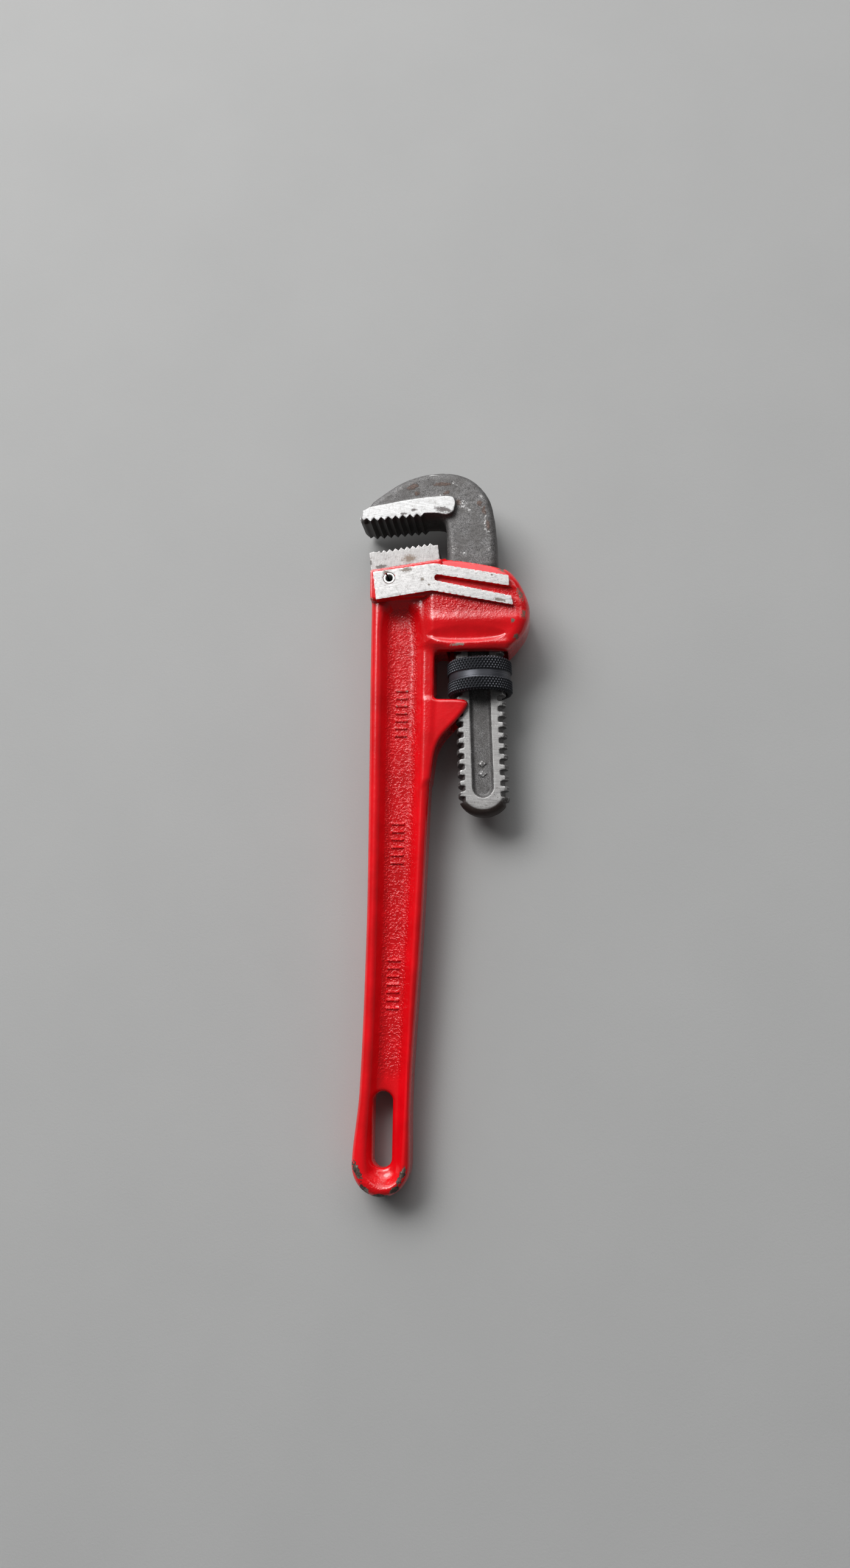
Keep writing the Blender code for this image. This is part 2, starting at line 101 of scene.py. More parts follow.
# The shank's axis, its thread and the bore that it runs in.
AXIS_FOOT = (49.1, 169.0)
AXIS_LEAN = math.radians(2.5)
THREAD_PITCH = 4.618
THREAD_CREST = 11.0
THREAD_ROOT = 9.25
TOOTH_CREST = 1.75
TOOTH_FLANK = 0.4
THREAD_PHASE = -1.77
THREAD_LAST = 79.5
FLAT_HALF = 5.55
SHANK_END = -12.2
SHANK_END_RADII = (11.6, 11.0)
SHANK_END_RIM = 3.4
SHANK_PLAIN_FROM = 74.0
SHANK_PLAIN_HALF = 6.3
GROOVE_HALF = 4.6
GROOVE_DEPTH = 1.5
GROOVE_END = -4.6
GROOVE_TOP = 70.0
BORE_FRONT = -12.45
BORE_REAR = 12.4
BORE_HALF = 8.9
BORE_LIP_HALF = 7.0
BORE_FLARE = 1.15
LEAF_HALF = 4.5
RELIEF_DEPTH = 2.7
COIL_AT = 72.3
COIL_POCKET_RADIUS = 4.1
COIL_POCKET_BOTTOM = -21.9

# The adjusting nut.
NUT_RADIUS = 14.1
NUT_HEIGHT = 14.6
NUT_BOTTOM = 40.75
NUT_GROOVE_WIDTH = 2.9
NUT_GROOVE_DEPTH = 0.75
KNURL_COUNT = 60
KNURL_RISE = 2.1
KNURL_DEPTH = 0.55

# The heel jaw and its pin.
HEEL_CORNER = (-1.7, 272.9)
HEEL_LEAN = math.radians(7.4)
HEEL_LENGTH = 30.5
HEEL_HEIGHT = 18.7
HEEL_HALF = 9.0
HEEL_TOOTH_PITCH = 2.57
HEEL_TOOTH_DEPTH = 1.3
HEEL_FLAT_START = 5.3
PIN_CENTRE = (8.1, 259.3)
PIN_RADIUS = 2.5
PIN_WALL = 0.9
PIN_HALF_LENGTH = 13.0
PIN_HOLE_RADIUS = 2.55

# The hook jaw's toothed block and its back.
HOOK_BLOCK_HALF = 11.0
HOOK_BACK_HALF = 8.6
HOOK_RIM = 3.0
HOOK_TOOTH_PITCH = 3.17
HOOK_TOOTH_DEPTH = 1.6
HOOK_TEETH_FROM = (-2.6, 285.9)
HOOK_TEETH_SLOPE = math.radians(4.2)
HOOK_TEETH = 8

# The scene: the floor's slopes along X and Y, and the camera, matched to the photo's perspective.
FLOOR_SLOPES = (-0.0366, -0.0213)
CAMERA_AT = (0.0451, -0.06383, 0.512)
CAMERA_TURN_DEGREES = (9.16, 5.87, 0.945)
CAMERA_LENS = 27.04

GAP = 0.3
COARSE = 1.0


# ---------------------------------------------------------------- outlines


def leaning(foot, lean, across, along):
    """X and Y of a point that lies across and along a line that stands on its foot and leans."""
    side = np.array([math.cos(lean), math.sin(lean)])
    up = np.array([-math.sin(lean), math.cos(lean)])
    return tuple(np.array(foot) + side * across + up * along)


def on_axis(across, along):
    """X and Y of a point that lies across the shank's axis, rearwards, and along it from AXIS_FOOT."""
    return leaning(AXIS_FOOT, AXIS_LEAN, across, along)


def to_axis(x, y):
    """How far a point lies across the shank's axis, and along it."""
    dx, dy = x - AXIS_FOOT[0], y - AXIS_FOOT[1]
    across = dx * math.cos(AXIS_LEAN) + dy * math.sin(AXIS_LEAN)
    along = dy * math.cos(AXIS_LEAN) - dx * math.sin(AXIS_LEAN)
    return across, along


def on_heel(along, up):
    """X and Y of a point along the heel jaw's line of teeth, and up from it."""
    return leaning(HEEL_CORNER, HEEL_LEAN, along, up)


def arc(centre, radii, start, end, steps):
    """Points on an ellipse's arc from start to end, in degrees."""
    angles = np.radians(np.linspace(start, end, steps + 1))
    return [(centre[0] + radii[0] * math.cos(a), centre[1] + radii[1] * math.sin(a)) for a in angles]


def softened(points, sharp_cut=0.5, gentle=30):
    """The outline with gentle corners turned into curves, and sharp ones cut round by sharp_cut."""
    points = [np.array(p, float) for p in points]
    made = []
    for index, here in enumerate(points):
        before, after = points[index - 1] - here, points[(index + 1) % len(points)] - here
        lengths = np.linalg.norm(before), np.linalg.norm(after)
        turn = 180 - math.degrees(math.acos(np.clip(before @ after / lengths[0] / lengths[1], -1, 1)))
        reach = 0.48 * min(lengths) if turn < gentle else min(sharp_cut, 0.48 * min(lengths))
        start, end = here + before / lengths[0] * reach, here + after / lengths[1] * reach
        for t in np.linspace(0, 1, 5):
            made.append(tuple(start * (1 - t) ** 2 + here * 2 * t * (1 - t) + end * t * t))
    return made


class Outline:
    """A closed outline in X and Y. Called, it gives the signed distance to it, negative inside.

    The distances are worked out once, on a grid, and read from it after that.
    """

    def __init__(self, points, step=0.4, margin=6.0):
        corners = np.array(points, float)
        self.low = corners.min(0) - margin
        self.step = step
        self.count = np.ceil((corners.max(0) + margin - self.low) / step).astype(int) + 1
        x = (self.low[0] + step * np.arange(self.count[0]))[:, None]
        y = (self.low[1] + step * np.arange(self.count[1]))[None, :]
        nearest = np.full(self.count, 1e9)
        inside = np.zeros(self.count, bool)
        for a, b in zip(corners, np.roll(corners, -1, 0)):
            d = b - a
            if not d.any():
                continue
            t = np.clip(((x - a[0]) * d[0] + (y - a[1]) * d[1]) / (d @ d), 0, 1)
            np.minimum(nearest, (x - a[0] - t * d[0]) ** 2 + (y - a[1] - t * d[1]) ** 2, out=nearest)
            if a[1] != b[1]:
                crosses = (a[1] > y) != (b[1] > y)
                inside ^= crosses & (x < a[0] + (y - a[1]) * d[0] / d[1])
        self.table = np.where(inside, -1, 1) * np.sqrt(nearest)

    def __call__(self, x, y):
        high = self.low + (self.count - 1) * self.step
        cx, cy = np.clip(x, self.low[0], high[0]), np.clip(y, self.low[1], high[1])
        beyond = np.hypot(x - cx, y - cy)
        u, v = (cx - self.low[0]) / self.step, (cy - self.low[1]) / self.step
        i = np.minimum(u.astype(int), self.count[0] - 2)
        j = np.minimum(v.astype(int), self.count[1] - 2)
        u, v = u - i, v - j
        t = self.table
        low = t[i, j] * (1 - u) + t[i + 1, j] * u
        high = t[i, j + 1] * (1 - u) + t[i + 1, j + 1] * u
        return low * (1 - v) + high * v + beyond


def saw_teeth(start, slope, pitch, depth, count):
    """Valleys and tips of a row of pointed teeth that stand away from depth, from start along slope."""
    places = [(half / 2, 0 if half % 2 else depth) for half in range(2 * count + 1)]
    return [leaning(start, slope, pitch * along, up) for along, up in places]


def grip_outline():
    loop = arc((8.8, 13.4), (12, 12.5), 180, 360, 24)
    rear = [
        (20.8, 19), (20.5, 40), (21.5, 62), (22.6, 80), (24.2, 110), (25.3, 140),
        (25.9, 160), (26.6, 178), (27.3, 195), (27.7, 209), (27.7, 254),
    ]
    front = [
        (-0.5, 254), (-0.3, 215), (0.3, 165), (0.7, 120), (0.45, 90), (-0.1, 60),
        (-0.85, 39), (-1.9, 29), (-3, 19),
    ]
    return softened(loop + rear + front)


def lug_outline():
    under = [(22, 168), (26.4, 172), (28.4, 185), (31, 190.4), (37.6, 197.6), (40.9, 201.7)]
    tip = [(42.5, 204.6), (41.9, 206.2), (40.2, 206.8)]
    return softened(under + tip + [(29.6, 207), (22, 207.3)], 0.6)


def recess_outline():
    """The recess down one side of the grip, along the crests of the flanges that border it."""
    rear = [
        (18.2, 18), (18.8, 32), (19.2, 50), (20, 80), (21.2, 112), (22.2, 145),
        (22.7, 175), (22.9, 200), (23, 229), (22.3, 239), (20.5, 246.5), (16.5, 250.5),
    ]
    front = [
        (8, 250.5), (4.6, 246.5), (3.6, 239), (4.1, 220), (4.4, 165), (4.6, 110),
        (4.3, 72), (3.6, 48), (2.8, 32), (1.9, 18),
    ]
    return softened(arc((10.1, 13.2), (8.1, 8.3), 200, 340, 14) + rear + front)


def slot_outline():
    low, high = SLOT_ENDS_Y[0] + SLOT_RADIUS, SLOT_ENDS_Y[1] - SLOT_RADIUS
    radii = (SLOT_RADIUS, SLOT_RADIUS)
    return arc((SLOT_CENTRE_X, low), radii, 180, 360, 24) + arc((SLOT_CENTRE_X, high), radii, 0, 180, 24)


def head_outline():
    underside = [(23, 231), (28, 227.6), (59.5, 227.6)]
    rear = [
        (63.2, 231.4), (67, 236.4), (68.5, 241.3), (68.8, 245.5), (68.1, 249.5),
        (66.4, 253.6), (63.9, 258.3), (60.6, 263),
    ]
    top = [(55.4, 266.3), (48.8, 268), (40.6, 269.5), (30.9, 270.5)]
    return softened(underside + rear + top + [(24, 268), (21.5, 250)], 1.0, 40)


def cheek_outline():
    return [(-0.4, 250.6), (23, 251.5), (30.6, 255), (30.6, 268.4), (-0.6, 263.9)]


def fork_slot_end():
    return arc((29.1, 259.2), (1.4, 1.4), 75, 255, 10)


def fork_outline():
    """The ground face: a plate over the heel jaw that splits into two prongs towards the back."""
    under = [(2.5, 249.8), (26.7, 253.5), (61.8, 246.5), (60.8, 250.6)]
    upper = [(60, 255), (59.6, 259.7), (27.5, 265.7), (0.9, 262.3)]
    return under + fork_slot_end()[::-1] + upper


def fork_slot_outline():
    return fork_slot_end() + [(60.8, 250.6), (66, 249.3), (65.4, 253.8), (60, 255)]


def bore_outline():
    front = [(BORE_FRONT, 112), (BORE_FRONT, 99), (BORE_FRONT - BORE_FLARE, 55)]
    return [on_axis(*corner) for corner in [*front, (BORE_REAR, 55), (BORE_REAR, 112)]]


def bar_outline(across, along, turn=on_axis):
    corners = [(0, 0), (1, 0), (1, 1), (0, 1)]
    return [turn(across[i], along[j]) for i, j in corners]


def heel_outline():
    count = int((HEEL_LENGTH - HEEL_FLAT_START) / HEEL_TOOTH_PITCH)
    first = on_heel(HEEL_FLAT_START, 0)
    teeth = saw_teeth(first, HEEL_LEAN, HEEL_TOOTH_PITCH, -HEEL_TOOTH_DEPTH, count)
    foot = [on_heel(0, -HEEL_HEIGHT), on_heel(HEEL_LENGTH, -HEEL_HEIGHT)]
    worn = [on_heel(HEEL_FLAT_START - 0.6, -0.1), on_heel(3.4, -0.7), on_heel(2.2, -0.15), on_heel(0, -0.5)]
    return foot + [on_heel(HEEL_LENGTH, -HEEL_TOOTH_DEPTH)] + teeth[::-1] + worn


def hook_back_outline():
    """The hook jaw's side, from its plain shank up round its back to the nose."""
    shank = [on_axis(-12.1, SHANK_PLAIN_FROM), on_axis(9.8, SHANK_PLAIN_FROM), on_axis(9.8, 103)]
    back = [
        (54.1, 280), (53.2, 288), (51.5, 295.4), (49.3, 299.5), (46.9, 302.4), (43.7, 305.4),
        (40.2, 307.4), (36.2, 308.8), (32, 309.4), (27.8, 309.4), (23.8, 309.1), (19.7, 308.3),
        (15.6, 307), (11.5, 305.2), (7.4, 302.7), (3.3, 299.8), (-1, 296.6),
    ]
    throat = [(-2.6, 294.2), (-2.6, 288.2), (20, 289.2), (28.5, 288.6), (31.4, 286.2), (32.2, 282.6)]
    return softened(shank + back + throat, 0.8)


def hook_block_outline():
    """The toothed block of the hook jaw, with its teeth facing the heel jaw."""
    teeth = saw_teeth(HOOK_TEETH_FROM, HOOK_TEETH_SLOPE, HOOK_TOOTH_PITCH, HOOK_TOOTH_DEPTH, HOOK_TEETH)
    rear = [(29, 289.2), (32.4, 288.4), (35.4, 289.7), (36.3, 293.9), (35.6, 296.5), (33, 297.2)]
    top = [(24.6, 296.9), (15, 295.8), (5, 294), (-3.4, 292.6)]
    return [*teeth, *softened(rear + top, 1.4, 20), (-4.7, 291.2), (-4.9, 287.6), (-4.1, 286.5)]


# ---------------------------------------------------------------- fields


def blend_min(a, b, size):
    """The smaller of two distances, with a fillet of about that size where they meet."""
    share = np.clip(0.5 + 0.5 * (b - a) / size, 0, 1)
    return b + (a - b) * share - size * share * (1 - share)


def blend_max(a, b, size):
    return -blend_min(-a, -b, size)


def plate(distance, height, half, rim):
    """A plate of an outline, from -half to half, with its rims rounded. height is how far off mid-plane."""
    side, top = distance + rim, height - half + rim
    return np.minimum(np.maximum(side, top), 0) + np.hypot(np.maximum(side, 0), np.maximum(top, 0)) - rim


def hill(x, y, centre, radii):
    """1 at the centre of an ellipse, falling smoothly to 0 far outside it."""
    return np.exp(-(((x - centre[0]) / radii[0]) ** 2) - ((y - centre[1]) / radii[1]) ** 2)


def step_up(value, low, high):
    """0 at low and before it, 1 at high and past it, and a smooth rise between. Low may be the larger."""
    share = np.clip((value - low) / (high - low), 0, 1)
    return share * share * (3 - 2 * share)


def basin(x, y, centre, radii):
    """How deep an elliptical basin is, from 0 to 1. It slopes down towards -Y and ends in a steep wall."""
    narrowing = np.sqrt(np.clip(1 - ((x - centre[0]) / radii[0]) ** 2, 0.0004, 1))
    across = (y - centre[1]) / (radii[1] * narrowing)
    return narrowing * step_up(across, 1.15, -0.55) * step_up(across, -1.35, -0.6)


def head_height(x, y):
    """Half the head's thickness: it swells under the fork, dips in a long hollow and ends in a bead."""
    swell = 0.6 * np.exp(-(((y - 240.8) / 3.2) ** 2))
    hollow = 1.15 * basin(x, y, (41.5, 234.9), (17, 3.4))
    bead = 0.3 * np.exp(-(((y - 230.6) / 1.3) ** 2))
    past_fork = y - 264.4 + 0.187 * (x - 27.5)
    shoulder = 0.3 * np.maximum(past_fork, 0)
    return HEAD_HALF - 0.5 + swell - hollow + bead - shoulder


def pin_hole(x, y):
    """How far inside the roll pin's hole a point is."""
    return PIN_HOLE_RADIUS - np.hypot(x - PIN_CENTRE[0], y - PIN_CENTRE[1])


def make_handle_field():
    outlines = {
        "grip": Outline(grip_outline()),
        "lug": Outline(lug_outline()),
        "recess": Outline(recess_outline()),
        "slot": Outline(slot_outline()),
        "head": Outline(head_outline()),
        "cheek": Outline(cheek_outline()),
        "fork": Outline(fork_outline(), 0.25),
        "fork_slot": Outline(fork_slot_outline(), 0.25),
        "bore": Outline(bore_outline()),
        "channel": Outline(bar_outline((LUG_CHANNEL_FRONT, 25), (14, 40))),
        "relief": Outline(bar_outline((BORE_FRONT - RELIEF_DEPTH, BORE_FRONT + 2), (61.3, 83.2))),
        "heel": Outline(bar_outline((-6, HEEL_LENGTH + GAP), (-HEEL_HEIGHT - GAP, 8), on_heel)),
    }

    def field(x, y, z):
        height = np.abs(z)
        distance = {name: outline(x, y) for name, outline in outlines.items()}
        rear_rim = np.interp(y, [160, 195], [GRIP_RIM - 0.4, WINDOW_RIM])
        rim = np.where(x < 12, GRIP_RIM, rear_rim)
        body = plate(distance["grip"], height, GRIP_HALF, rim)
        body = blend_min(body, plate(distance["lug"], height, GRIP_HALF, LUG_RIM), 2.0)
        depth = GRIP_HALF - WEB_HALF
        wall = (height - GRIP_HALF) * RECESS_RUN - distance["recess"] * depth
        wall = wall / math.hypot(depth, RECESS_RUN)
        recess = blend_min(wall, height - WEB_HALF, 2.0)
        body = blend_max(body, recess, 0.9)
        body = blend_max(body, -distance["slot"], 1.8)
        rims = [HEAD_RIM_LOW, HEAD_RIM_REAR, HEAD_RIM_TOP]
        rim = np.interp(y + 0.25 * x, [240, 262, 275], rims)
        rim = np.maximum(rim, np.interp(x, [22, 36], [8.0, 2.0]))
        body = blend_min(body, plate(distance["head"], height, head_height(x, y), rim), 3.4)
        body = blend_min(body, plate(distance["cheek"], height, CHEEK_HALF, 0.7), 0.6)
        body = np.minimum(body, plate(distance["fork"], height, FORK_HALF, 0.0))
        body = np.maximum(body, -np.maximum(distance["fork_slot"], FORK_SLOT_FLOOR - height))
        across, along = to_axis(x, y)
        bore_half = np.interp(along, [63.0, 66.0], [BORE_LIP_HALF, BORE_HALF])
        body = blend_max(body, -plate(distance["bore"], height, bore_half, 1.0), 0.8)
        for name, half, rim in (
            ("channel", LUG_CHANNEL_HALF, 0.5),
            ("relief", LEAF_HALF + 0.5, 0.3),
            ("heel", HEEL_HALF + GAP, 0),
        ):
            body = np.maximum(body, -plate(distance[name], height, half, rim))
        body = np.maximum(body, pin_hole(x, y))
        pocket = np.hypot(along - COIL_AT, height) - COIL_POCKET_RADIUS
        pocket = np.maximum(pocket, COIL_POCKET_BOTTOM - across)
        body = np.maximum(body, -np.maximum(pocket, across - BORE_FRONT))
        return body - cast_marks(x, y, height)

    return field


def cast_marks(x, y, height):
    """Three groups of plain raised bars in the recess, 0.75 mm high."""
    raised = 0.0
    for low, high, bars in ((74.5, 97.5, 7), (135.0, 155.0, 6), (190.0, 213.0, 7)):
        pitch = (high - low) / bars
        turn = (y - low) / pitch
        group = (y > low) & (y < high)
        bar = np.clip((0.62 - np.abs(turn - np.floor(turn) - 0.5) * pitch) / 0.35, 0, 1)
        ends = np.clip((2.9 - np.abs(x - np.interp(y, [74, 213], [12.0, 13.6]))) / 0.5, 0, 1)
        raised = raised + np.where(group, bar * ends, 0)
    return 0.75 * raised * np.clip((WEB_HALF + 1.6 - height) / 1.2, 0, 1)


def make_heel_field():
    side = Outline(heel_outline(), 0.15, 3)

    def field(x, y, z):
        body = plate(side(x, y), np.abs(z), HEEL_HALF, 0.25)
        return np.maximum(body, pin_hole(x, y))

    return field


def thread_field(x, y, z):
    """A right-hand screw about the shank's axis, its teeth square with sloping flanks."""
    across, along = to_axis(x, y)
    radius = np.hypot(across, z)
    turn = (along - THREAD_PHASE) / THREAD_PITCH - np.arctan2(across, z) / (2 * math.pi)
    from_tooth = np.abs(turn - np.round(turn)) * THREAD_PITCH
    half = TOOTH_CREST / 2 + TOOTH_FLANK * (THREAD_CREST - radius) / (THREAD_CREST - THREAD_ROOT)
    tooth = blend_max(radius - THREAD_CREST, (from_tooth - half) * 0.96, 0.35)
    return blend_min(radius - THREAD_ROOT, tooth, 0.45)


def make_hook_field():
    back = Outline(hook_back_outline())
    block = Outline(hook_block_outline(), 0.2, 4)
    groove_line = arc((0, GROOVE_END + GROOVE_HALF), (GROOVE_HALF, GROOVE_HALF), 180, 360, 20)
    groove_line += [(GROOVE_HALF, GROOVE_TOP), (-GROOVE_HALF, GROOVE_TOP)]
    groove = Outline([on_axis(*point) for point in groove_line], 0.25)
    end = SHANK_END + SHANK_END_RADII[1]
    tip_line = arc((0, end), SHANK_END_RADII, 180, 360, 32)
    tip = Outline([on_axis(*p) for p in tip_line + [(11.6, 90), (-11.6, 90)]], 0.3)

    def field(x, y, z):
        height = np.abs(z)
        across, along = to_axis(x, y)
        near_head = np.clip((along - 92) / 6, 0, 1)
        half = SHANK_PLAIN_HALF + (HOOK_BACK_HALF - SHANK_PLAIN_HALF) * step_up(along, 92, 98)
        body = plate(back(x, y), height, half, HOOK_RIM * np.clip(0.4 + near_head, 0, 1))
        pad = plate(block(x, y), height, HOOK_BLOCK_HALF, 0.35)
        nose = np.hypot((x + 3.4) / 1.0, (y - 289.2) / 0.85) - 2.9
        pad = blend_min(pad, np.maximum(nose, height - 6.5 + (y - 289.2) * 0.2), 2.2)
        body = blend_min(body, pad, 1.6)
        screw = np.maximum(thread_field(x, y, z), along - THREAD_LAST)
        rim = np.where(along < end, SHANK_END_RIM, 0.05)
        screw = np.maximum(screw, plate(tip(x, y), height, FLAT_HALF, rim))
        screw = blend_max(screw, height - FLAT_HALF, 0.25)
        body = np.minimum(body, screw)
        wall = -groove(x, y) * 0.78 + (height - FLAT_HALF) * 0.62
        cut = blend_min(wall, height - FLAT_HALF + GROOVE_DEPTH, 0.5)
        mark = shank_mark(across, along) * np.clip((FLAT_HALF - height) / 0.6, 0, 1)
        cut = np.where(along < GROOVE_TOP, cut - mark, -1)
        return np.where(along < GROOVE_TOP, blend_max(body, cut, 0.2), body)

    return field


def shank_mark(across, along):
    """Two plain raised lozenges on the groove's floor."""
    lozenge = 1.7 - np.abs(across) * 0.8 - np.minimum(np.abs(along - 5.8), np.abs(along - 10.2))
    return 0.45 * np.clip(lozenge / 0.5, 0, 1)


# ---------------------------------------------------------------- meshes from fields


def cell_sums(cells, weights, size):
    return np.bincount(cells, weights, size)


def contour(field, low, high, step):
    """The field's zero surface as (points, quads): one point for each cell that the surface crosses.

    The point is the one that lies best on the planes through the surface at the cell's edges, so that
    sharp edges stay sharp. A quad stands across each grid edge that the surface crosses.
    """
    low = np.array(low, float)
    counts = np.ceil((np.array(high) - low) / step).astype(int) + 1
    axes = [low[a] + step * np.arange(counts[a]) for a in range(3)]
    values = field(axes[0][:, None, None], axes[1][None, :, None], axes[2][None, None, :])
    values = np.ascontiguousarray(np.broadcast_to(values, counts))
    inside = values < 0
    cell_shape = tuple(counts - 1)
    numbers, quads, parts = np.full(np.prod(cell_shape), -1), [], []
    for axis in range(3):
        first = [slice(None)] * 3
        second = [slice(None)] * 3
        first[axis], second[axis] = slice(0, -1), slice(1, None)
        edge = np.array(np.nonzero(inside[tuple(first)] != inside[tuple(second)]))
        others = [a for a in range(3) if a != axis]
        whole = np.all([(edge[a] > 0) & (edge[a] < counts[a] - 1) for a in others], axis=0)
        edge = edge[:, whole]
        far = edge.copy()
        far[axis] += 1
        at, to = values[tuple(edge)], values[tuple(far)]
        point = low[:, None] + step * edge.astype(float)
        point[axis] += step * at / (at - to)
        around = []
        for du, dv in ((0, 0), (-1, 0), (-1, -1), (0, -1)):
            cell = edge.copy()
            cell[others[0]] += du
            cell[others[1]] += dv
            around.append(np.ravel_multi_index(cell, cell_shape))
        around = np.array(around)
        # Going up the middle axis turns the quad the other way round.
        flipped = (at > 0) ^ (axis == 1)
        quads.append(np.where(flipped, around[::-1], around).T)
        parts.append((around, point))
    used = np.unique(np.concatenate([around.ravel() for around, _ in parts]))
    numbers[used] = np.arange(len(used))
    size = len(used)
    total = np.zeros((size, 3, 3))
    pull, middle, count = np.zeros((size, 3)), np.zeros((size, 3)), np.zeros(size)
    for around, point in parts:
        normal = normals_of(field, point, step * 0.05)
        offset = (normal * point).sum(0)
        for cells in numbers[around]:
            count += cell_sums(cells, None, size)
            for a in range(3):
                middle[:, a] += cell_sums(cells, point[a], size)
                pull[:, a] += cell_sums(cells, normal[a] * offset, size)
                for b in range(3):
                    total[:, a, b] += cell_sums(cells, normal[a] * normal[b], size)
    middle /= count[:, None]
    hold = 0.04 * count
    total[:, range(3), range(3)] += hold[:, None]
    points = np.linalg.solve(total, (pull + hold[:, None] * middle)[:, :, None])[:, :, 0]
    points = middle + np.clip(points - middle, -step, step)
    return points, numbers[np.concatenate(quads)]


def normals_of(field, point, reach):
    """The field's direction at each point, as unit vectors."""
    here = field(*point)
    slope = []
    for axis in range(3):
        moved = point.copy()
        moved[axis] += reach
        slope.append(field(*moved) - here)
    slope = np.array(slope)
    return slope / np.maximum(np.linalg.norm(slope, axis=0), 1e-12)


def convexity(field, points, reach):
    """How far the surface falls away around each point, from 0 where it is flat, negative in corners."""
    at = points.T
    normal = normals_of(field, at, 0.05)
    helper = np.where(np.abs(normal[0]) < 0.6, 1.0, 0.0)
    helper = np.array([helper, 1 - helper, np.zeros_like(helper)])
    across = np.cross(normal.T, helper.T).T
    across /= np.linalg.norm(across, axis=0)
    along = np.cross(normal.T, across.T).T
    around = [field(*(at + reach * way)) for way in (across, -across, along, -along)]
    return (sum(around) / 4 - field(*at)) / reach


def rough(points, size, seed):
    """Smooth noise from -1 to 1 at the points, its bumps about that many millimetres across."""
    table = np.random.default_rng(seed).uniform(-1, 1, (32, 32, 32))
    at = points / size + seed * 3.7
    cell = np.floor(at).astype(int)
    part = at - cell
    part = part * part * (3 - 2 * part)
    total = 0
    for corner in range(8):
        step = np.array([corner & 1, corner >> 1 & 1, corner >> 2])
        weight = np.where(step, part, 1 - part).prod(1)
        total = total + weight * table[tuple(((cell + step) % 32).T)]
    return total


def make_mesh(name, points, faces, marks=None, crease=38):
    """An object from points in the wrench's millimetres. marks are numbers kept for each point."""
    faces = np.asarray(faces)
    mesh = bpy.data.meshes.new(name)
    mesh.vertices.add(len(points))
    mesh.vertices.foreach_set("co", ((points + ORIGIN) * MM).astype(np.float32).ravel())
    mesh.loops.add(faces.size)
    mesh.loops.foreach_set("vertex_index", faces.astype(np.int32).ravel())
    mesh.polygons.add(len(faces))
    mesh.polygons.foreach_set("loop_start", np.arange(0, faces.size, faces.shape[1], dtype=np.int32))
    mesh.update(calc_edges=True)
    mesh.validate()
    for mark, values in (marks or {}).items():
        mesh.attributes.new(mark, "FLOAT", "POINT").data.foreach_set("value", values.astype(np.float32))
    mesh.shade_smooth()
    mesh.set_sharp_from_angle(angle=math.radians(crease))
    made = bpy.data.objects.new(name, mesh)
    bpy.context.collection.objects.link(made)
    return made


def stand_for(piece, node, body, look):
    """The piece takes the CAD node's place, rides on its body and shows that material."""
    piece.data.materials.append(look)
    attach(piece, body)
    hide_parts(node)
    return piece


def node_box(node, margin=1.0):
    """The corners of a CAD node's box in the wrench's millimetres, with a margin round it."""
    low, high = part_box(node)
    return np.array(low) / MM - ORIGIN - margin, np.array(high) / MM - ORIGIN + margin


def solid(node, field, step):
    """A mesh of the field in the CAD node's box, as points and quads, with how convex the surface is at
    each point.
    """
    points, quads = contour(field, *node_box(node, 1.5 * step * COARSE), step * COARSE)
    return points, quads, convexity(field, points, 1.1)


# ---------------------------------------------------------------- materials


class Value:
    """What a node of a look gives. Sums and products of values are further nodes."""

    def __init__(self, look, socket):
        self.look, self.socket = look, socket

    def __add__(self, other):
        return self.look.math("ADD", self, other)

    def __sub__(self, other):
        return self.look.math("SUBTRACT", self, other)

    def __rsub__(self, other):
        return self.look.math("SUBTRACT", other, self)

    def __mul__(self, other):
        return self.look.math("MULTIPLY", self, other)


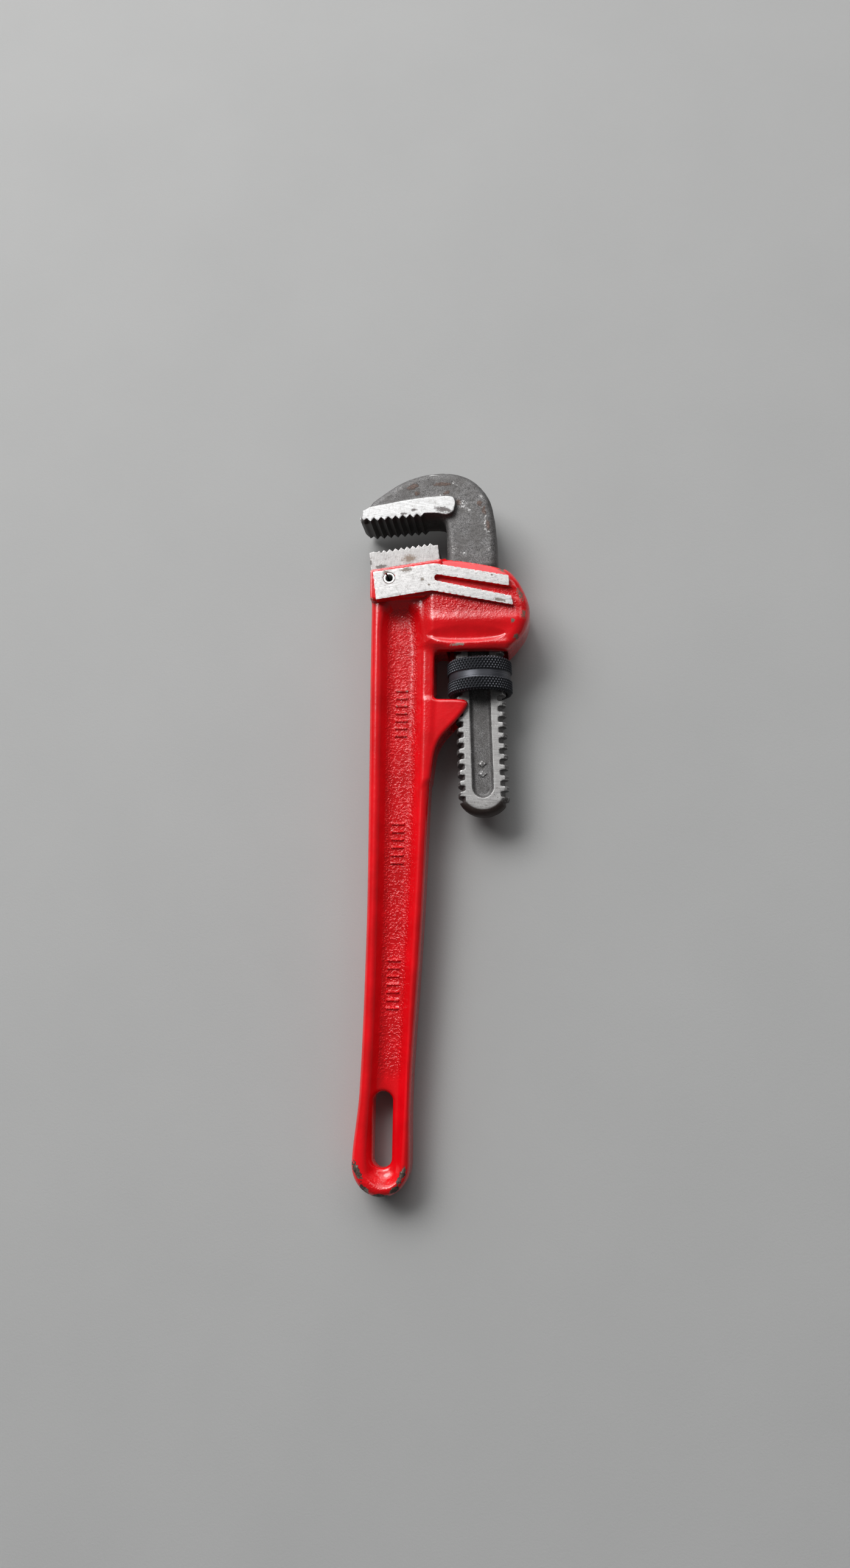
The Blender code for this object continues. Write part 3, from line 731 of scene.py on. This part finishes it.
class Look:
    """A material that is put together from nodes. P is the place in the wrench's own millimetres."""

    def __init__(self, name):
        self.material = bpy.data.materials.new(name)
        self.material.use_nodes = True
        self.tree = self.material.node_tree
        self.shader = self.tree.nodes["Principled BSDF"]
        place = self.add("ShaderNodeTexCoord").outputs["Object"]
        self.P = self.placed(place, Scale=(1 / MM,) * 3, Location=tuple(-ORIGIN))
        split = self.add("ShaderNodeSeparateXYZ", {"Vector": self.P})
        self.x, self.y, z = [Value(self, socket) for socket in split.outputs]
        self.height = self.math("ABSOLUTE", z)

    def add(self, kind, inputs=None, **settings):
        node = self.tree.nodes.new(kind)
        for key, value in settings.items():
            setattr(node, key, value)
        for key, value in (inputs or {}).items():
            self.put(node.inputs[key], value)
        return node

    def value(self, kind, output, inputs, **settings):
        return Value(self, self.add(kind, inputs, **settings).outputs[output])

    def put(self, socket, value):
        if isinstance(value, Value):
            value = value.socket
        if isinstance(value, bpy.types.NodeSocket):
            self.tree.links.new(value, socket)
        elif isinstance(value, tuple) and len(value) == 3 and socket.type == "RGBA":
            socket.default_value = (*value, 1)
        else:
            socket.default_value = value

    def math(self, operation, a, b=0):
        return self.value("ShaderNodeMath", 0, {0: a, 1: b}, operation=operation)

    def most(self, *values):
        """The greatest of the values."""
        greatest = values[0]
        for value in values[1:]:
            greatest = self.math("MAXIMUM", greatest, value)
        return greatest

    def ramp(self, value, low, high, out_low=0, out_high=1):
        """A smooth step from out_low at low to out_high at high."""
        inputs = {"Value": value, 1: low, 2: high, 3: out_low, 4: out_high}
        return self.value("ShaderNodeMapRange", 0, inputs, interpolation_type="SMOOTHSTEP")

    def mix(self, share, a, b):
        return self.value("ShaderNodeMix", 2, {0: share, 6: a, 7: b}, data_type="RGBA")

    def mark(self, name):
        return self.value("ShaderNodeAttribute", "Fac", {}, attribute_name=name)

    def placed(self, vector, kind="POINT", **inputs):
        return self.add("ShaderNodeMapping", {"Vector": vector, **inputs}, vector_type=kind).outputs[0]

    def stretched(self, turn=0, sizes=(1, 1, 1), shift=0):
        """P turned about Z by some degrees and divided by sizes, for a pattern that is longer one way."""
        turned = self.placed(self.P, Rotation=(0, 0, math.radians(turn)))
        scale = tuple(1 / size for size in sizes)
        return self.placed(turned, Scale=scale, Location=(shift, shift * 0.7, shift * 1.3))

    def noise(self, size, detail=3, shift=0, roughness=0.55, vector=None):
        """Noise from about 0.2 to 0.8, its blots about size millimetres across."""
        vector = vector or self.stretched(shift=shift)
        inputs = {"Vector": vector, "Scale": 1 / size, "Detail": detail, "Roughness": roughness}
        return self.value("ShaderNodeTexNoise", "Fac", inputs)

    def cells(self, size, shift=0):
        inputs = {"Vector": self.stretched(shift=shift), "Scale": 1 / size}
        return self.value("ShaderNodeTexVoronoi", "Distance", inputs)

    def blot(self, x, y, along, across, turn=0):
        """1 at x, y, falling to 0 at an ellipse of those radii round it, turned by some degrees."""
        rotation, scale = (0, 0, math.radians(turn)), (along, across, 1e4)
        moved = self.placed(self.P, "TEXTURE", Location=(x, y, 0), Rotation=rotation, Scale=scale)
        length = self.add("ShaderNodeVectorMath", {0: moved}, operation="LENGTH")
        return self.ramp(length.outputs["Value"], 1, 0)

    def blots(self, *places):
        return self.most(*[self.blot(*place) for place in places])

    def ragged(self, places, weight, grain, low, high):
        """Places whose outlines the grain breaks up."""
        return self.ramp(places * weight + grain, low, high)

    def bump(self, height, depth, normal=None):
        """A bump whose height of 1 stands that many millimetres up."""
        inputs = {"Height": height, "Distance": depth * MM}
        if normal is not None:
            inputs["Normal"] = normal
        return self.add("ShaderNodeBump", inputs).outputs[0]

    def finish(self, colour, metallic, roughness, normal, **others):
        inputs = {"Base Color": colour, "Metallic": metallic, "Roughness": roughness, "Normal": normal}
        for name, value in {**inputs, **others}.items():
            self.put(self.shader.inputs[name.replace("_", " ")], value)
        return self.material


def ground_steel(look, turn, bright=(0.78, 0.77, 0.75), shift=0, dirt=0.5):
    """Colour, roughness and height of steel that was ground, scratched and left to stain."""
    long = look.noise(1, 4, vector=look.stretched(turn, (7, 0.2, 0.6), shift))
    cross = look.noise(1, 3, vector=look.stretched(turn + 62, (4, 0.1, 0.6), shift + 5))
    mottle = look.noise(1.6, 8, shift + 2, 0.78)
    specks = look.noise(0.6, 5, shift + 7, 0.75)
    cloud = look.noise(6, 4, shift + 9, 0.6)
    pits = look.ramp(look.noise(0.9, 7, shift + 13, 0.78) + cloud * 0.4, 0.82, 0.9)
    streaks = look.ramp(long, 0.35, 0.65)
    dull = tuple(part * 0.68 for part in bright)
    colour = look.mix(streaks, dull, bright)
    colour = look.mix(look.ramp(cross, 0.58, 0.68, 0, 0.45), colour, (0.93, 0.92, 0.91))
    colour = look.mix(look.ramp(specks, 0.56, 0.68, 0, 0.3 + 0.5 * dirt), colour, (0.22, 0.2, 0.185))
    colour = look.mix(look.ramp(mottle, 0.57 - 0.1 * dirt, 0.72, 0, 0.75), colour, (0.27, 0.25, 0.235))
    colour = look.mix(pits * 0.85, colour, (0.07, 0.06, 0.055))
    roughness = look.ramp(long + mottle * 0.5, 0.5, 1, 0.36, 0.55)
    height = streaks * 0.35 + pits * -1
    return colour, roughness, height


def red_enamel():
    """Glossy red enamel over a rough casting, chipped at the edges, with its fork faces ground bare, and
    with painted shade in the pebbles' hollows and in the pin's hole.
    """
    look = Look("red_enamel")
    edge = look.mark("edge")
    coarse = look.mark("coarse")
    tone = look.noise(14, 3)
    colour = look.mix(look.ramp(tone, 0.3, 0.7), (0.6, 0.0012, 0.004), (0.76, 0.002, 0.007))

    pebbles = look.ramp(look.noise(0.85, 1, 3, 0.5), 0.44, 0.72)
    fine = look.noise(0.6, 0, 8)
    swell = look.noise(4.5, 1, 5)
    surface = pebbles * look.ramp(coarse, 0, 1, 0.03, 1)
    surface = surface + fine * 0.03 + swell * 0.5
    # Painted shade: the hollows between the pebbles are coloured a darker red.
    pebble_hollow_shade = look.ramp(pebbles, 0.45, 0) * coarse * 0.4
    colour = look.mix(pebble_hollow_shade, colour, (0.3, 0, 0.001))

    chips = look.blots(
        (-0.8, 11.5, 3.4, 9.5, 24), (2.2, 4.6, 6, 2.6, -34), (17.4, 9.6, 2.7, 9, -24),
        (9, 1.6, 9, 2), (15, 4.4, 5, 2.4, 36),
    )
    chips = chips + look.ramp(edge, 0.14, 0.5, 0, 0.32)
    chipped = look.ragged(chips, 0.5, look.noise(1.7, 8, 21, 0.74), 0.8, 0.84)
    under = look.ramp(look.noise(0.9, 5, 4, 0.7), 0.35, 0.65)
    under = look.mix(under, (0.01, 0.006, 0.005), (0.1, 0.066, 0.05))
    under = look.mix(look.ramp(look.noise(2.4, 3, 31), 0.56, 0.66), under, (0.22, 0.17, 0.145))

    scuffs = look.blots((38, 229.9, 9.5, 1.9, 3))
    rear = look.blots(
        (64.6, 252, 3.6, 9.5, 22), (66, 243, 3, 6), (61.5, 240, 3, 3),
        (56.5, 263.2, 6, 2, -30), (63, 233.5, 4, 3, 40),
    )
    crest_line = look.ramp(edge, 0.1, 0.3) * look.ramp(look.y, 30, 260, 0.45, 0.75)
    scuffs = look.most(scuffs * 1.05, crest_line, rear)
    scuffed = look.ragged(scuffs, 0.5, look.noise(0.9, 7, 41, 0.78), 0.87, 0.95)
    grey = look.mix(look.noise(1.2, 4, 44), (0.24, 0.15, 0.12), (0.46, 0.37, 0.32))
    brown = look.mix(look.noise(0.8, 4, 46), (0.07, 0.03, 0.02), (0.24, 0.15, 0.115))
    scuff_colour = look.mix(look.ramp(rear, 0, 0.3), grey, brown)

    specks_near = look.blots((45, 266.5, 19, 7, -14), (62, 256, 6, 12, 20))
    specks = look.ramp(look.cells(0.85, 2) + look.ramp(specks_near, 0, 1, 0.6, 0), 0.24, 0.14)
    specks = specks * look.ramp(look.noise(1.4, 2, 51), 0.46, 0.53)

    colour = look.mix(scuffed, colour, scuff_colour)
    colour = look.mix(chipped, colour, under)
    colour = look.mix(specks * 0.85, colour, (0.07, 0.006, 0.006))
    worn = look.most(chipped, scuffed, specks)
    roughness = look.ramp(worn, 0, 1, 0.24, 0.55)

    bare_edge = look.height + (look.noise(0.8, 4, 61) - 0.5) * 0.06
    bare = look.ramp(bare_edge, FORK_HALF - 0.1, FORK_HALF - 0.04)
    bare_colour, bare_roughness, bare_height = ground_steel(look, -8, (0.71, 0.69, 0.68), 3, 1)
    stains = look.blots(
        (15.5, 263, 6, 2.2, 6), (22.5, 258.6, 2.1, 1.6), (25.5, 256, 1.3, 1.1),
        (52.5, 260, 1.4, 1), (56, 248.8, 6.5, 1.6, -12), (6.5, 262, 3, 2),
    )
    stained = look.ragged(stains, 0.42, look.noise(0.8, 8, 71, 0.82), 0.68, 0.84)
    bare_colour = look.mix(stained * 0.8, bare_colour, (0.105, 0.072, 0.045))
    colour = look.mix(bare, colour, bare_colour)
    # Painted shade: a near-black disc over the pin's hole, fading out just past its rim.
    colour = look.mix(look.blot(*PIN_CENTRE, 3.3, 3.3) * 3, colour, (0.02, 0.012, 0.01))
    roughness = look.mix(bare, roughness, bare_roughness)

    lows = look.most(chipped, specks)
    normal = look.bump(surface * (1 - bare), 0.16)
    normal = look.bump(lows * -1, 0.12, normal)
    normal = look.bump(bare * bare_height, 0.012, normal)
    metallic = bare * 0.5
    coat = (1 - look.most(worn, bare)) * 0.4
    return look.finish(colour, metallic, roughness, normal, Coat_Weight=coat, Coat_Roughness=0.1)


def heel_steel():
    """The heel jaw's ground sides, scratched across, with a brown stain and dark mottling."""
    look = Look("heel_steel")
    colour, roughness, height = ground_steel(look, 97.4, (0.5, 0.485, 0.475), 6, 1)
    stain = look.blots((16, 269.5, 6, 3.4, 8), (24, 267, 4, 1.6, 8))
    stained = look.ragged(stain, 0.45, look.noise(1.1, 8, 14, 0.8), 0.62, 0.9)
    colour = look.mix(stained * 0.8, colour, (0.15, 0.1, 0.062))
    dark = look.blots((4, 266, 6.5, 2.2, 8), (13, 266, 14, 1.6, 8), (-0.8, 268, 1.5, 4))
    darkened = look.ragged(dark, 0.4, look.noise(0.8, 8, 24, 0.82), 0.68, 0.86)
    colour = look.mix(darkened * 0.85, colour, (0.07, 0.055, 0.05))
    sides = look.ramp(look.height, HEEL_HALF - 0.25, HEEL_HALF - 0.05)
    teeth = look.mix(look.noise(0.7, 5, 2), (0.06, 0.055, 0.05), (0.25, 0.235, 0.22))
    colour = look.mix(sides, teeth, colour)
    normal = look.bump(height, 0.025)
    return look.finish(colour, 0.5, roughness, normal)


def forged_steel():
    """Dark forging scale with rust, ground on the block and the flats, bright at its edges and in places
    where it is partly worn and partly given a painted highlight, with painted shade in the jaws' mouth and
    a dark brown, partly painted shade, on the shank's end.
    """
    look = Look("forged_steel")
    edge = look.mark("edge")
    grit = look.noise(0.42, 6, 1, 0.75)
    cloud = look.noise(5, 5, 11, 0.6)
    colour = look.mix(look.ramp(grit, 0.34, 0.68), (0.03, 0.028, 0.028), (0.27, 0.262, 0.258))
    colour = look.mix(look.ramp(cloud, 0.38, 0.62, 0, 0.55), colour, (0.07, 0.064, 0.06))

    rust = look.blots(
        (17, 302.5, 5.5, 2.8, 28), (19, 299.5, 2.6, 2), (37.6, 295, 2.4, 3, 20),
        (46.6, 294.5, 3, 2.6, -40), (48.6, 291, 2, 4, 10), (30, 303.5, 8, 2),
        (50.5, 284, 1.8, 5, 8), (32, 299.5, 3, 2, 30),
    )
    rusty = look.ragged(rust, 0.42, look.noise(1.5, 9, 5, 0.76), 0.68, 0.82)
    rust_colour = look.ramp(look.noise(0.5, 5, 15, 0.7), 0.35, 0.65)
    rust_colour = look.mix(rust_colour, (0.03, 0.018, 0.014), (0.15, 0.085, 0.06))
    colour = look.mix(rusty * 0.9, colour, rust_colour)

    # Bright steel in blots and along convex edges: partly worn metal, partly a painted highlight, such as
    # the strip down the neck's rim.
    bright_wear_and_highlight_places = look.blots(
        (49.5, 284, 3, 16, 8), (42, 291.5, 5.5, 4), (36, 274, 3.2, 7, 5),
        (35.5, 303.8, 5, 2, -25), (47.5, 297, 2.2, 4, 30), (51, 273.5, 2.4, 4, 5),
        (39.5, 294, 5, 6.5, 30), (12, 302, 3, 1.6, 30), (26, 308, 6, 1.2),
        (32.5, 275, 1.6, 9, 2), (40, 271.5, 7, 2), (30, 298.6, 6, 1.2, 5),
    )
    worn_and_highlit_edge = look.ramp(edge, 0.04, 0.26, 0, 0.24)
    bright = look.ragged(bright_wear_and_highlight_places, 0.22, worn_and_highlit_edge + look.noise(0.8, 7, 25, 0.78), 0.7, 0.8)
    colour = look.mix(bright * 0.85, colour, (0.62, 0.61, 0.6))

    block = look.ramp(look.height, HOOK_BLOCK_HALF - 0.22, HOOK_BLOCK_HALF - 0.06)
    block = block * look.ramp(look.y, 280, 281)
    block_colour, block_roughness, block_height = ground_steel(look, 12, (0.68, 0.675, 0.67), 1, 0.7)
    dark = look.blots((31, 290.8, 8.5, 3, -14), (13.5, 289.3, 3, 1.2), (18, 291, 3, 1.5))
    darkened = look.ragged(dark, 0.4, look.noise(1.1, 8, 35, 0.8), 0.66, 0.84)
    block_colour = look.mix(darkened * 0.88, block_colour, (0.06, 0.045, 0.042))
    colour = look.mix(block, colour, block_colour)

    below_head = look.ramp(look.y, 242, 238)
    flats = look.ramp(look.height, FLAT_HALF - 0.16, FLAT_HALF - 0.04) * below_head
    flat_colour, flat_roughness, flat_height = ground_steel(look, 3, (0.45, 0.44, 0.43), 8, 0.5)
    colour = look.mix(flats, colour, flat_colour)

    # Painted shade: the teeth's undersides in the jaws' mouth are coloured near black.
    mouth_shade = look.ramp(look.y, 289.6, 287.2) * look.ramp(look.y, 279, 281)
    mouth_shade = mouth_shade * look.ramp(look.x, 34, 29) * (1 - block)
    colour = look.mix(mouth_shade * 0.8, colour, (0.028, 0.024, 0.022))
    # The shank's rounded end is coloured a near-black brown: partly its browner scale, partly painted shade
    # on the end that faces away from the light.
    end_shade_and_scale = look.ramp(look.y, 166, 161) * (1 - flats)
    colour = look.mix(end_shade_and_scale * 0.9, colour, (0.035, 0.022, 0.018))

    ground = look.most(block, flats)
    metallic = look.ramp(look.most(flats, bright), 0, 1, 0.5, 0.8)
    metallic = look.mix(block, metallic, (0.5, 0.5, 0.5))
    metallic = metallic * look.ramp(rusty, 0, 1, 1, 0.35)
    ground_roughness = look.mix(block, flat_roughness, block_roughness)
    roughness = look.mix(ground, look.ramp(grit, 0.3, 0.7, 0.42, 0.66), ground_roughness)
    normal = look.bump(grit + rusty * 0.5, 0.1)
    ground_height = block * block_height + flats * flat_height
    normal = look.bump(ground_height, 0.025, normal)
    return look.finish(colour, metallic, roughness, normal)


def black_oxide():
    """Black oxide, rubbed to a bluish grey on the knurl's peaks and turned smooth between the bands."""
    look = Look("black_oxide")
    peak = look.mark("peak")
    groove = look.mark("groove")
    rub = peak + (look.noise(0.5, 4, 3) - 0.5) * 0.5
    colour = look.mix(look.ramp(rub, 0.35, 1.05), (0.007, 0.008, 0.011), (0.075, 0.077, 0.09))
    lines = look.noise(1, 3, vector=look.stretched(-2.5, (20, 0.09, 20)))
    turned = look.mix(look.ramp(lines, 0.35, 0.65), (0.045, 0.047, 0.056), (0.125, 0.128, 0.145))
    colour = look.mix(groove, colour, turned)
    roughness = look.ramp(groove, 0, 1, 0.4, 0.34)
    normal = look.bump(look.noise(0.25, 3, 7) + lines * groove, 0.02)
    return look.finish(colour, 0.6, roughness, normal)


def bright_steel(name, colour, roughness):
    """Plain drawn steel, with a fine grain."""
    look = Look(name)
    grain = look.noise(1, 4, vector=look.stretched(0, (0.15, 0.15, 4)))
    low = tuple(part * 0.7 for part in colour)
    shade = look.mix(look.ramp(grain, 0.35, 0.65), low, colour)
    shade = look.mix(look.ramp(look.noise(0.7, 5, 4, 0.7), 0.58, 0.72, 0, 0.6), shade, (0.06, 0.05, 0.045))
    roughness = look.ramp(grain, 0.3, 0.7, roughness, roughness + 0.15)
    return look.finish(shade, 0.9, roughness, look.bump(grain, 0.01))


def pale_floor():
    look = Look("pale_floor")
    colour = look.mix(look.noise(60, 4), (0.38, 0.378, 0.372), (0.415, 0.412, 0.405))
    return look.finish(colour, 0, 0.85, look.bump(look.noise(0.8, 4), 0.05))


# ---------------------------------------------------------------- pieces


def make_handle():
    """The cast handle, its enamel rough in the recess and under the fork, and smoother on the flanges."""
    field = make_handle_field()
    points, quads, edge = solid("handle", field, 0.56)
    x, y, z = points.T
    height = np.abs(z)
    normal = normals_of(field, points.T, 0.05).T
    web = step_up(height, 5.6, 4.2) * step_up(y, 42, 56)
    side = hill(x, y, (40, 248), (24, 5.5)) + 0.3 * hill(x, y, (42, 231), (24, 3))
    lug = 0.15 * hill(x, y, (24, 205), (3.5, 25))
    foot = 0.4 * hill(x, y, (8.8, 6.5), (8, 3.5))
    roughness = np.clip(0.1 + 0.7 * web + 0.9 * side + lug + foot, 0, 1.0)
    flat = (height > FORK_HALF - 0.12) | (np.abs(normal[:, 2]) < 0.02)
    grain = 0.6 * rough(points, 1.1, 1) + 0.4 * rough(points, 2.2, 2)
    depth = np.where(flat, 0, 0.12 * roughness)
    inner = np.abs(to_axis(x, y)[0]) < 12.3
    depth = np.where(inner & (y > 228) & (height < 9.2), 0, depth)
    points = points + normal * (depth * grain)[:, None]
    piece = make_mesh("handle_casting", points, quads, {"edge": edge, "coarse": roughness})
    return stand_for(piece, "handle", "handle", red_enamel())


def make_heel_jaw():
    points, quads, _ = solid("heel_jaw", make_heel_field(), 0.3)
    piece = make_mesh("heel_jaw_block", points, quads)
    return stand_for(piece, "heel_jaw", "handle", heel_steel())


def make_hook_jaw():
    """The forged hook jaw and its threaded shank, its scale lumpy away from the ground faces."""
    field = make_hook_field()
    points, quads, edge = solid("hook_jaw", field, 0.45)
    x, y, z = points.T
    height = np.abs(z)
    normal = normals_of(field, points.T, 0.05).T
    forged = (y > 268) & (height < HOOK_BLOCK_HALF - 0.3)
    teeth = (y < 288.5) & (x < 29)
    lumps = 0.5 * rough(points, 1.1, 5) + 0.5 * rough(points, 3.0, 6)
    depth = np.where(forged & ~teeth, 0.13, 0.0)
    depth = np.where((y < 236) & (height < FLAT_HALF - 0.3), 0.05, depth)
    points = points + normal * (depth * lumps)[:, None]
    piece = make_mesh("hook_jaw_forging", points, quads, {"edge": edge})
    return stand_for(piece, "hook_jaw", "hook_jaw", forged_steel())


def make_pin():
    """A roll pin, a sheet curled round until a narrow gap is left along its top."""
    outer = arc(PIN_CENTRE, (PIN_RADIUS - 0.05, PIN_RADIUS - 0.05), 132, 476, 48)
    inner = arc(PIN_CENTRE, (PIN_RADIUS - PIN_WALL,) * 2, 473, 135, 48)
    side = Outline(outer + inner, 0.08, 1)

    def field(x, y, z):
        return plate(side(x, y), np.abs(z), PIN_HALF_LENGTH, 0.18)

    low, high = node_box("heel_jaw_pin", 0.5)
    points, quads = contour(field, low, high + [0, 0, 0.5], 0.18 * COARSE)
    piece = make_mesh("roll_pin", points, quads)
    steel = bright_steel("pin_steel", (0.8, 0.79, 0.77), 0.3)
    return stand_for(piece, "heel_jaw_pin", "handle", steel)


def nut_profile(along, angle):
    """The nut's outside radius at a height above its bottom, with how far up the knurl that is."""
    middle = np.abs(along - NUT_HEIGHT / 2)
    from_end = NUT_HEIGHT / 2 - middle
    turn = angle * KNURL_COUNT / (2 * math.pi)
    way_up, way_down = turn + along / KNURL_RISE, turn - along / KNURL_RISE
    ridge = np.minimum(np.abs(way_up - np.round(way_up)), np.abs(way_down - np.round(way_down)))
    peak = np.clip(2.3 * ridge, 0, 1)
    band_edge = np.clip((middle - NUT_GROOVE_WIDTH / 2) / 0.35, 0, 1)
    chamfer = np.clip(0.75 - from_end, 0, 1) * 0.9
    radius = NUT_RADIUS - KNURL_DEPTH * (1 - peak) * band_edge - chamfer
    radius = radius - NUT_GROOVE_DEPTH * (1 - band_edge)
    return radius, peak * band_edge, 1 - band_edge


def nut_bore(along, angle):
    """The nut's inside radius: the shank's thread with the gap all round."""
    turn = (NUT_BOTTOM + along - THREAD_PHASE) / THREAD_PITCH - angle / (2 * math.pi)
    from_tooth = np.abs(turn - np.round(turn)) * THREAD_PITCH
    in_groove = np.clip((TOOTH_CREST / 2 + GAP + TOOTH_FLANK - from_tooth) / TOOTH_FLANK, 0, 1)
    return THREAD_ROOT + GAP + (THREAD_CREST - THREAD_ROOT) * in_groove


def make_nut():
    """A closed skin of columns round the axis: up the knurled outside, and down the threaded inside."""
    columns = KNURL_COUNT * 10
    angle = np.linspace(0, 2 * math.pi, columns, endpoint=False)[None, :]
    rise = np.linspace(0, NUT_HEIGHT, 93)[:, None]
    outside, peak, groove = nut_profile(rise, angle)
    inner_rise = np.linspace(NUT_HEIGHT, 0, 30)[:, None]
    from_end = np.minimum(inner_rise, NUT_HEIGHT - inner_rise)
    inside = nut_bore(inner_rise, angle) + 0.7 * np.clip(0.8 - from_end, 0, 1)
    radius = np.concatenate([outside, inside])
    along = NUT_BOTTOM + np.concatenate([rise, inner_rise])
    across, up = radius * np.sin(angle), radius * np.cos(angle)
    along = np.broadcast_to(along, radius.shape)
    x = AXIS_FOOT[0] + across * math.cos(AXIS_LEAN) - along * math.sin(AXIS_LEAN)
    y = AXIS_FOOT[1] + across * math.sin(AXIS_LEAN) + along * math.cos(AXIS_LEAN)
    points = np.stack([x, y, up], -1).reshape(-1, 3)
    rows = len(radius)
    row, column = np.meshgrid(np.arange(rows), np.arange(columns), indexing="ij")
    corner = row * columns + column
    after = row * columns + (column + 1) % columns
    below = (row + 1) % rows * columns
    quads = np.stack([corner, below + column, below + (column + 1) % columns, after], -1).reshape(-1, 4)
    blank = np.zeros(inside.size)
    marks = {
        "peak": np.concatenate([peak.ravel(), blank]),
        "groove": np.concatenate([np.broadcast_to(groove, peak.shape).ravel(), blank]),
    }
    piece = make_mesh("adjusting_nut_knurled", points, quads, marks, 60)
    return stand_for(piece, "adjusting_nut", "adjusting_nut", black_oxide())


def make_springs():
    """The CAD springs stay as they are, in a better material."""
    steel = bright_steel("spring_steel", (0.4, 0.41, 0.44), 0.32)
    for name in ("flat_spring", "coil_spring"):
        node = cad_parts[name]
        node.data.materials.clear()
        node.data.materials.append(steel)


# ---------------------------------------------------------------- floor, light and camera


def make_floor(pieces):
    """A pale floor under the wrench, which lies on its nut, its head's front corner and its hanging end."""
    slope = np.array(FLOOR_SLOPES)
    lowest = 1e9
    for piece in pieces:
        points = np.empty(len(piece.data.vertices) * 3)
        piece.data.vertices.foreach_get("co", points)
        points = points.reshape(-1, 3)
        lowest = min(lowest, (points[:, 2] - points[:, :2] @ slope).min())
    bpy.ops.mesh.primitive_grid_add(x_subdivisions=2, y_subdivisions=2, size=6)
    floor = bpy.context.object
    floor.name = "floor"
    floor.location = (0, 0, lowest)
    floor.rotation_euler = (math.atan(slope[1]), -math.atan(slope[0]), 0)
    floor.data.materials.append(pale_floor())


def make_light(name, at, size, power):
    data = bpy.data.lights.new(name, "AREA")
    data.shape = "RECTANGLE"
    data.size, data.size_y = size
    data.energy = power
    light = bpy.data.objects.new(name, data)
    bpy.context.collection.objects.link(light)
    light.location = at
    light.rotation_euler = Vector(at).to_track_quat("Z", "Y").to_euler()


def make_lights():
    make_light("key", (-0.75, 1.0, 1.25), (1.1, 0.8), 22)
    make_light("rim", (0.9, 1.1, 1.2), (0.8, 0.6), 3)


def make_surroundings():
    """A studio that is bright low down beyond the jaws and a little to the left, and dim overhead."""
    world = bpy.data.worlds.new("studio")
    world.use_nodes = True
    tree = world.node_tree
    way = tree.nodes.new("ShaderNodeTexCoord").outputs["Generated"]
    towards = tree.nodes.new("ShaderNodeVectorMath")
    towards.operation = "DOT_PRODUCT"
    towards.inputs[1].default_value = (-0.35, 0.85, 0.4)
    tree.links.new(way, towards.inputs[0])
    strength = tree.nodes.new("ShaderNodeMapRange")
    strength.interpolation_type = "SMOOTHSTEP"
    for socket, value in enumerate((0.66, 0.93, 0.1, 2.6), 1):
        strength.inputs[socket].default_value = value
    tree.links.new(towards.outputs["Value"], strength.inputs[0])
    background = tree.nodes["Background"]
    background.inputs["Color"].default_value = (0.96, 0.98, 1.0, 1)
    tree.links.new(strength.outputs[0], background.inputs["Strength"])
    bpy.context.scene.world = world


def make_camera():
    """A phone's wide lens half a metre over the wrench, looking down and a little back and across."""
    data = bpy.data.cameras.new("camera")
    data.lens = CAMERA_LENS
    data.sensor_width = 36
    data.clip_start = 0.05
    camera = bpy.data.objects.new("camera", data)
    bpy.context.collection.objects.link(camera)
    camera.location = CAMERA_AT
    camera.rotation_euler = [math.radians(angle) for angle in CAMERA_TURN_DEGREES]
    bpy.context.scene.camera = camera


def main():
    pieces = [make_handle(), make_heel_jaw(), make_hook_jaw(), make_pin(), make_nut()]
    make_springs()
    make_floor(pieces)
    make_lights()
    make_surroundings()
    make_camera()
    bpy.context.scene.view_settings.view_transform = "Standard"


main()
